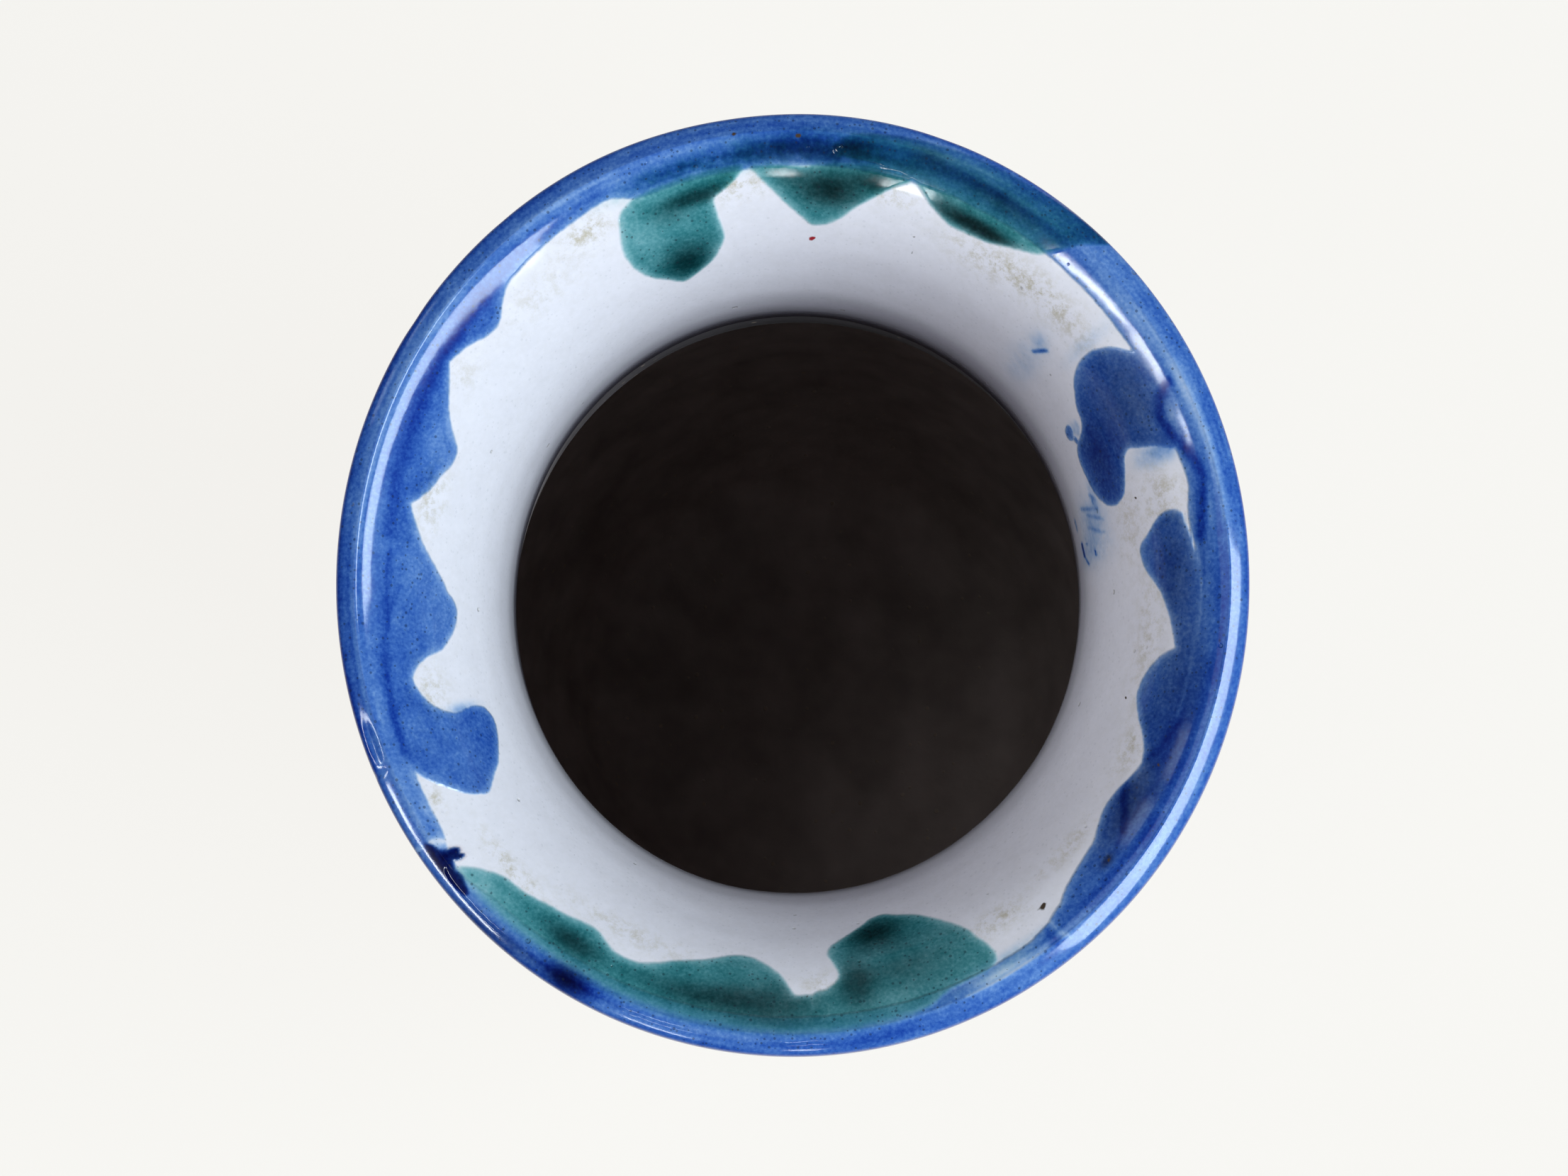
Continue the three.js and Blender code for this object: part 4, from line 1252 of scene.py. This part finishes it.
def bare_clay():
    material = bpy.data.materials.new("bare_clay")
    material.use_nodes = True
    tree = material.node_tree
    shader = tree.nodes["Principled BSDF"]
    clouds = use_group(tree, grain, {"Scale": 420.0, "Coarse Share": 0.6}).outputs["Value"]
    share = math_node(tree, "MULTIPLY_ADD", clouds, 0.45, 0.5, clamp=True)
    colour = blend_colours(tree, share, CLAY_DARK, CLAY_LIGHT)
    inner = math_node(tree, "MULTIPLY", attribute(tree, "inside"), 0.85)
    dust = use_group(tree, grain, {"Scale": 110.0, "Coarse Share": 0.5}).outputs["Value"]
    dusty = node(tree, "VectorMath", {0: CLAY_INSIDE}, operation="SCALE")
    feed(tree, dusty.inputs["Scale"], math_node(tree, "MULTIPLY_ADD", dust, 0.45, 1.0))
    colour = blend_colours(tree, inner, colour, dusty.outputs[0])
    # Painted shade: the clay inside is darkened below the throat by the stored amount.
    painted_shade_colour = math_node(tree, "MAXIMUM", attribute(tree, "painted_shade_amount"), 0.0001)
    painted_shade_colour = node(tree, "Gamma", {"Color": PAINTED_SHADE_GREY, "Gamma": painted_shade_colour})
    colour = multiply_colours(tree, colour, painted_shade_colour.outputs["Color"])
    grit = use_group(tree, specks, {"Scale": 700.0, "Radius": 0.30, "Share": 0.25}).outputs["Mask"]
    colour = blend_colours(tree, math_node(tree, "MULTIPLY", grit, 0.4), colour, (0.55, 0.42, 0.32, 1.0))
    feed(tree, shader.inputs["Base Color"], colour)
    shader.inputs["Roughness"].default_value = 0.85
    height = math_node(tree, "MULTIPLY_ADD", clouds, 0.06, math_node(tree, "MULTIPLY", grit, 0.08))
    bump = node(tree, "Bump", {"Strength": 0.8, "Distance": MM, "Height": height})
    feed(tree, shader.inputs["Normal"], bump.outputs["Normal"])
    return material


clay_material = bare_clay()
for piece in (body_clay, foot_clay):
    piece.data.materials.append(clay_material)
neck_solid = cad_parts["neck"]
for index in range(len(neck_solid.material_slots)):
    neck_solid.material_slots[index].material = clay_material
print("materials:", glaze_material.name, clay_material.name)

# %% [markdown]
# ## Floor and backdrop
# The vase stands on a plain pale table top. Seen by the camera, most of the floor's colour is given to it
# straight, so that it stays pale in any light and still keeps the vase's shadow.

# %% The floor
FLOOR_COLOUR = (0.95, 0.935, 0.90, 1.0)


def floor_material():
    material = bpy.data.materials.new("pale_table")
    material.use_nodes = True
    tree = material.node_tree
    output = tree.nodes["Material Output"]
    matt = node(tree, "BsdfDiffuse", {"Color": FLOOR_COLOUR})
    plain = node(tree, "Emission", {"Color": FLOOR_COLOUR, "Strength": 1.0})
    path = node(tree, "LightPath")
    seen = math_node(tree, "ADD", path.outputs["Is Camera Ray"], path.outputs["Is Glossy Ray"])
    seen = math_node(tree, "ADD", seen, path.outputs["Is Transmission Ray"], clamp=True)
    share = math_node(tree, "MULTIPLY", seen, 0.9)
    mixed = node(tree, "MixShader", {0: share, 1: matt.outputs[0], 2: plain.outputs[0]})
    feed(tree, output.inputs["Surface"], mixed.outputs[0])
    return material


floor_mesh = bpy.data.meshes.new("floor")
floor_mesh.from_pydata([(-6, -6, 0), (6, -6, 0), (6, 6, 0), (-6, 6, 0)], [], [(0, 1, 2, 3)])
floor = bpy.data.objects.new("floor", floor_mesh)
bpy.context.scene.collection.objects.link(floor)
floor.data.materials.append(floor_material())

# %% The world: a soft dome of cool daylight, and a pale backdrop for the camera
world = bpy.data.worlds.new("soft_daylight")
bpy.context.scene.world = world
world.use_nodes = True
sky_tree = world.node_tree
sky_tree.nodes.clear()
dome = node(sky_tree, "Background", {"Color": (0.93, 0.96, 1.0, 1.0), "Strength": 0.08})
backdrop = node(sky_tree, "Background", {"Color": FLOOR_COLOUR, "Strength": 1.0})
path = node(sky_tree, "LightPath")
sky_mix = node(sky_tree, "MixShader", {0: path.outputs["Is Camera Ray"], 1: dome.outputs[0], 2: backdrop.outputs[0]})
sky_output = node(sky_tree, "OutputWorld")
feed(sky_tree, sky_output.inputs["Surface"], sky_mix.outputs[0])

# %% [markdown]
# ## Lamps
# The highlights on the lip tell where the windows were: a glossy slope shows a lamp where it leans half way
# between the lamp and the eye. The long streaks low right and on the left come from one wide window on the
# right, 43 degrees up. Three panes on the left and two lower ones below give the short thin
# streaks, and two dim panes behind give the faint patches on the right. A soft patch of sky fills the rest.

# %% Lamps round the mouth: colour, azimuth and elevation in degrees, distance, width and height in metres, watts
CLEAR_SKY = (0.80, 0.94, 1.0)
DAYLIGHT = (0.90, 0.95, 0.965)
LAMPS = {
    "window_right": (CLEAR_SKY, 341.5, 43.0, 1.1, 0.92, 0.23, 12.8),
    "window_left": (DAYLIGHT, 215.5, 34.4, 1.1, 0.24, 0.035, 1.5),
    "pane_left": (DAYLIGHT, 203.2, 34.0, 1.1, 0.125, 0.07, 1.0),
    "pane_far_left": (DAYLIGHT, 192.5, 33.4, 1.1, 0.065, 0.045, 0.26),
    "window_below": (DAYLIGHT, 249.0, 33.0, 1.1, 0.15, 0.05, 0.6),
    "window_far_below": (DAYLIGHT, 270.0, 33.0, 1.1, 0.07, 0.05, 0.3),
    "pane_dim_left": (CLEAR_SKY, 142.5, 27.0, 1.1, 0.10, 0.08, 0.07),
    "pane_dim_right": (CLEAR_SKY, 151.6, 29.0, 1.1, 0.115, 0.09, 0.095),
    "sky_left": (DAYLIGHT, 153.0, 60.0, 1.1, 0.8, 0.7, 2.4),
}


def lamp(name, colour, azimuth, elevation, distance, width, height, watts):
    """An area lamp on a sphere round the middle of the mouth, facing it, its width level."""
    turn, rise = math.radians(azimuth), math.radians(elevation)
    back = Vector((math.cos(turn) * math.cos(rise), math.sin(turn) * math.cos(rise), math.sin(rise)))
    light = bpy.data.lights.new(name, "AREA")
    light.shape = "RECTANGLE"
    light.size = width
    light.size_y = height
    light.energy = watts
    light.color = colour
    lamp_object = bpy.data.objects.new(name, light)
    lamp_object.location = Vector((0.0, 0.0, HEIGHT * MM)) + back * distance
    lamp_object.rotation_euler = back.to_track_quat("Z", "Y").to_euler()
    bpy.context.scene.collection.objects.link(lamp_object)
    return lamp_object


for name, place in LAMPS.items():
    lamp(name, *place)
print(len(LAMPS), "lamps")

# %% [markdown]
# ## Camera
# The picture was taken from almost straight above, 45 cm over the mouth. Its frame is 2212 by 1659 pixels, and
# one millimetre at the level of the lip is about 12 pixels wide, which gives the lens.

# %% The camera at the photograph's viewing angle
IMAGE_WIDTH = 2212
PIXELS_PER_MM = 12.022
CAMERA_DISTANCE = 450.0
TILT_X = math.radians(1.287)
TILT_Y = math.radians(5.557)
TARGET = Vector((-0.853, -1.230, HEIGHT))

back = Vector((math.sin(TILT_X), -math.sin(TILT_Y), 0.0))
back.z = math.sqrt(1 - back.length_squared)
right = Vector((0.0, 1.0, 0.0)).cross(back).normalized()
up = back.cross(right)
camera_data = bpy.data.cameras.new("camera")
camera_data.sensor_width = 36.0
camera_data.lens = PIXELS_PER_MM * CAMERA_DISTANCE / IMAGE_WIDTH * camera_data.sensor_width
camera_data.clip_start = 0.01
camera = bpy.data.objects.new("camera", camera_data)
turned = Matrix((right, up, back)).transposed().to_4x4()
camera.matrix_world = Matrix.Translation((TARGET + back * CAMERA_DISTANCE) * MM) @ turned
bpy.context.scene.collection.objects.link(camera)
bpy.context.scene.camera = camera
bpy.context.scene.view_settings.view_transform = "Standard"
print("lens", round(camera_data.lens, 1), "mm")
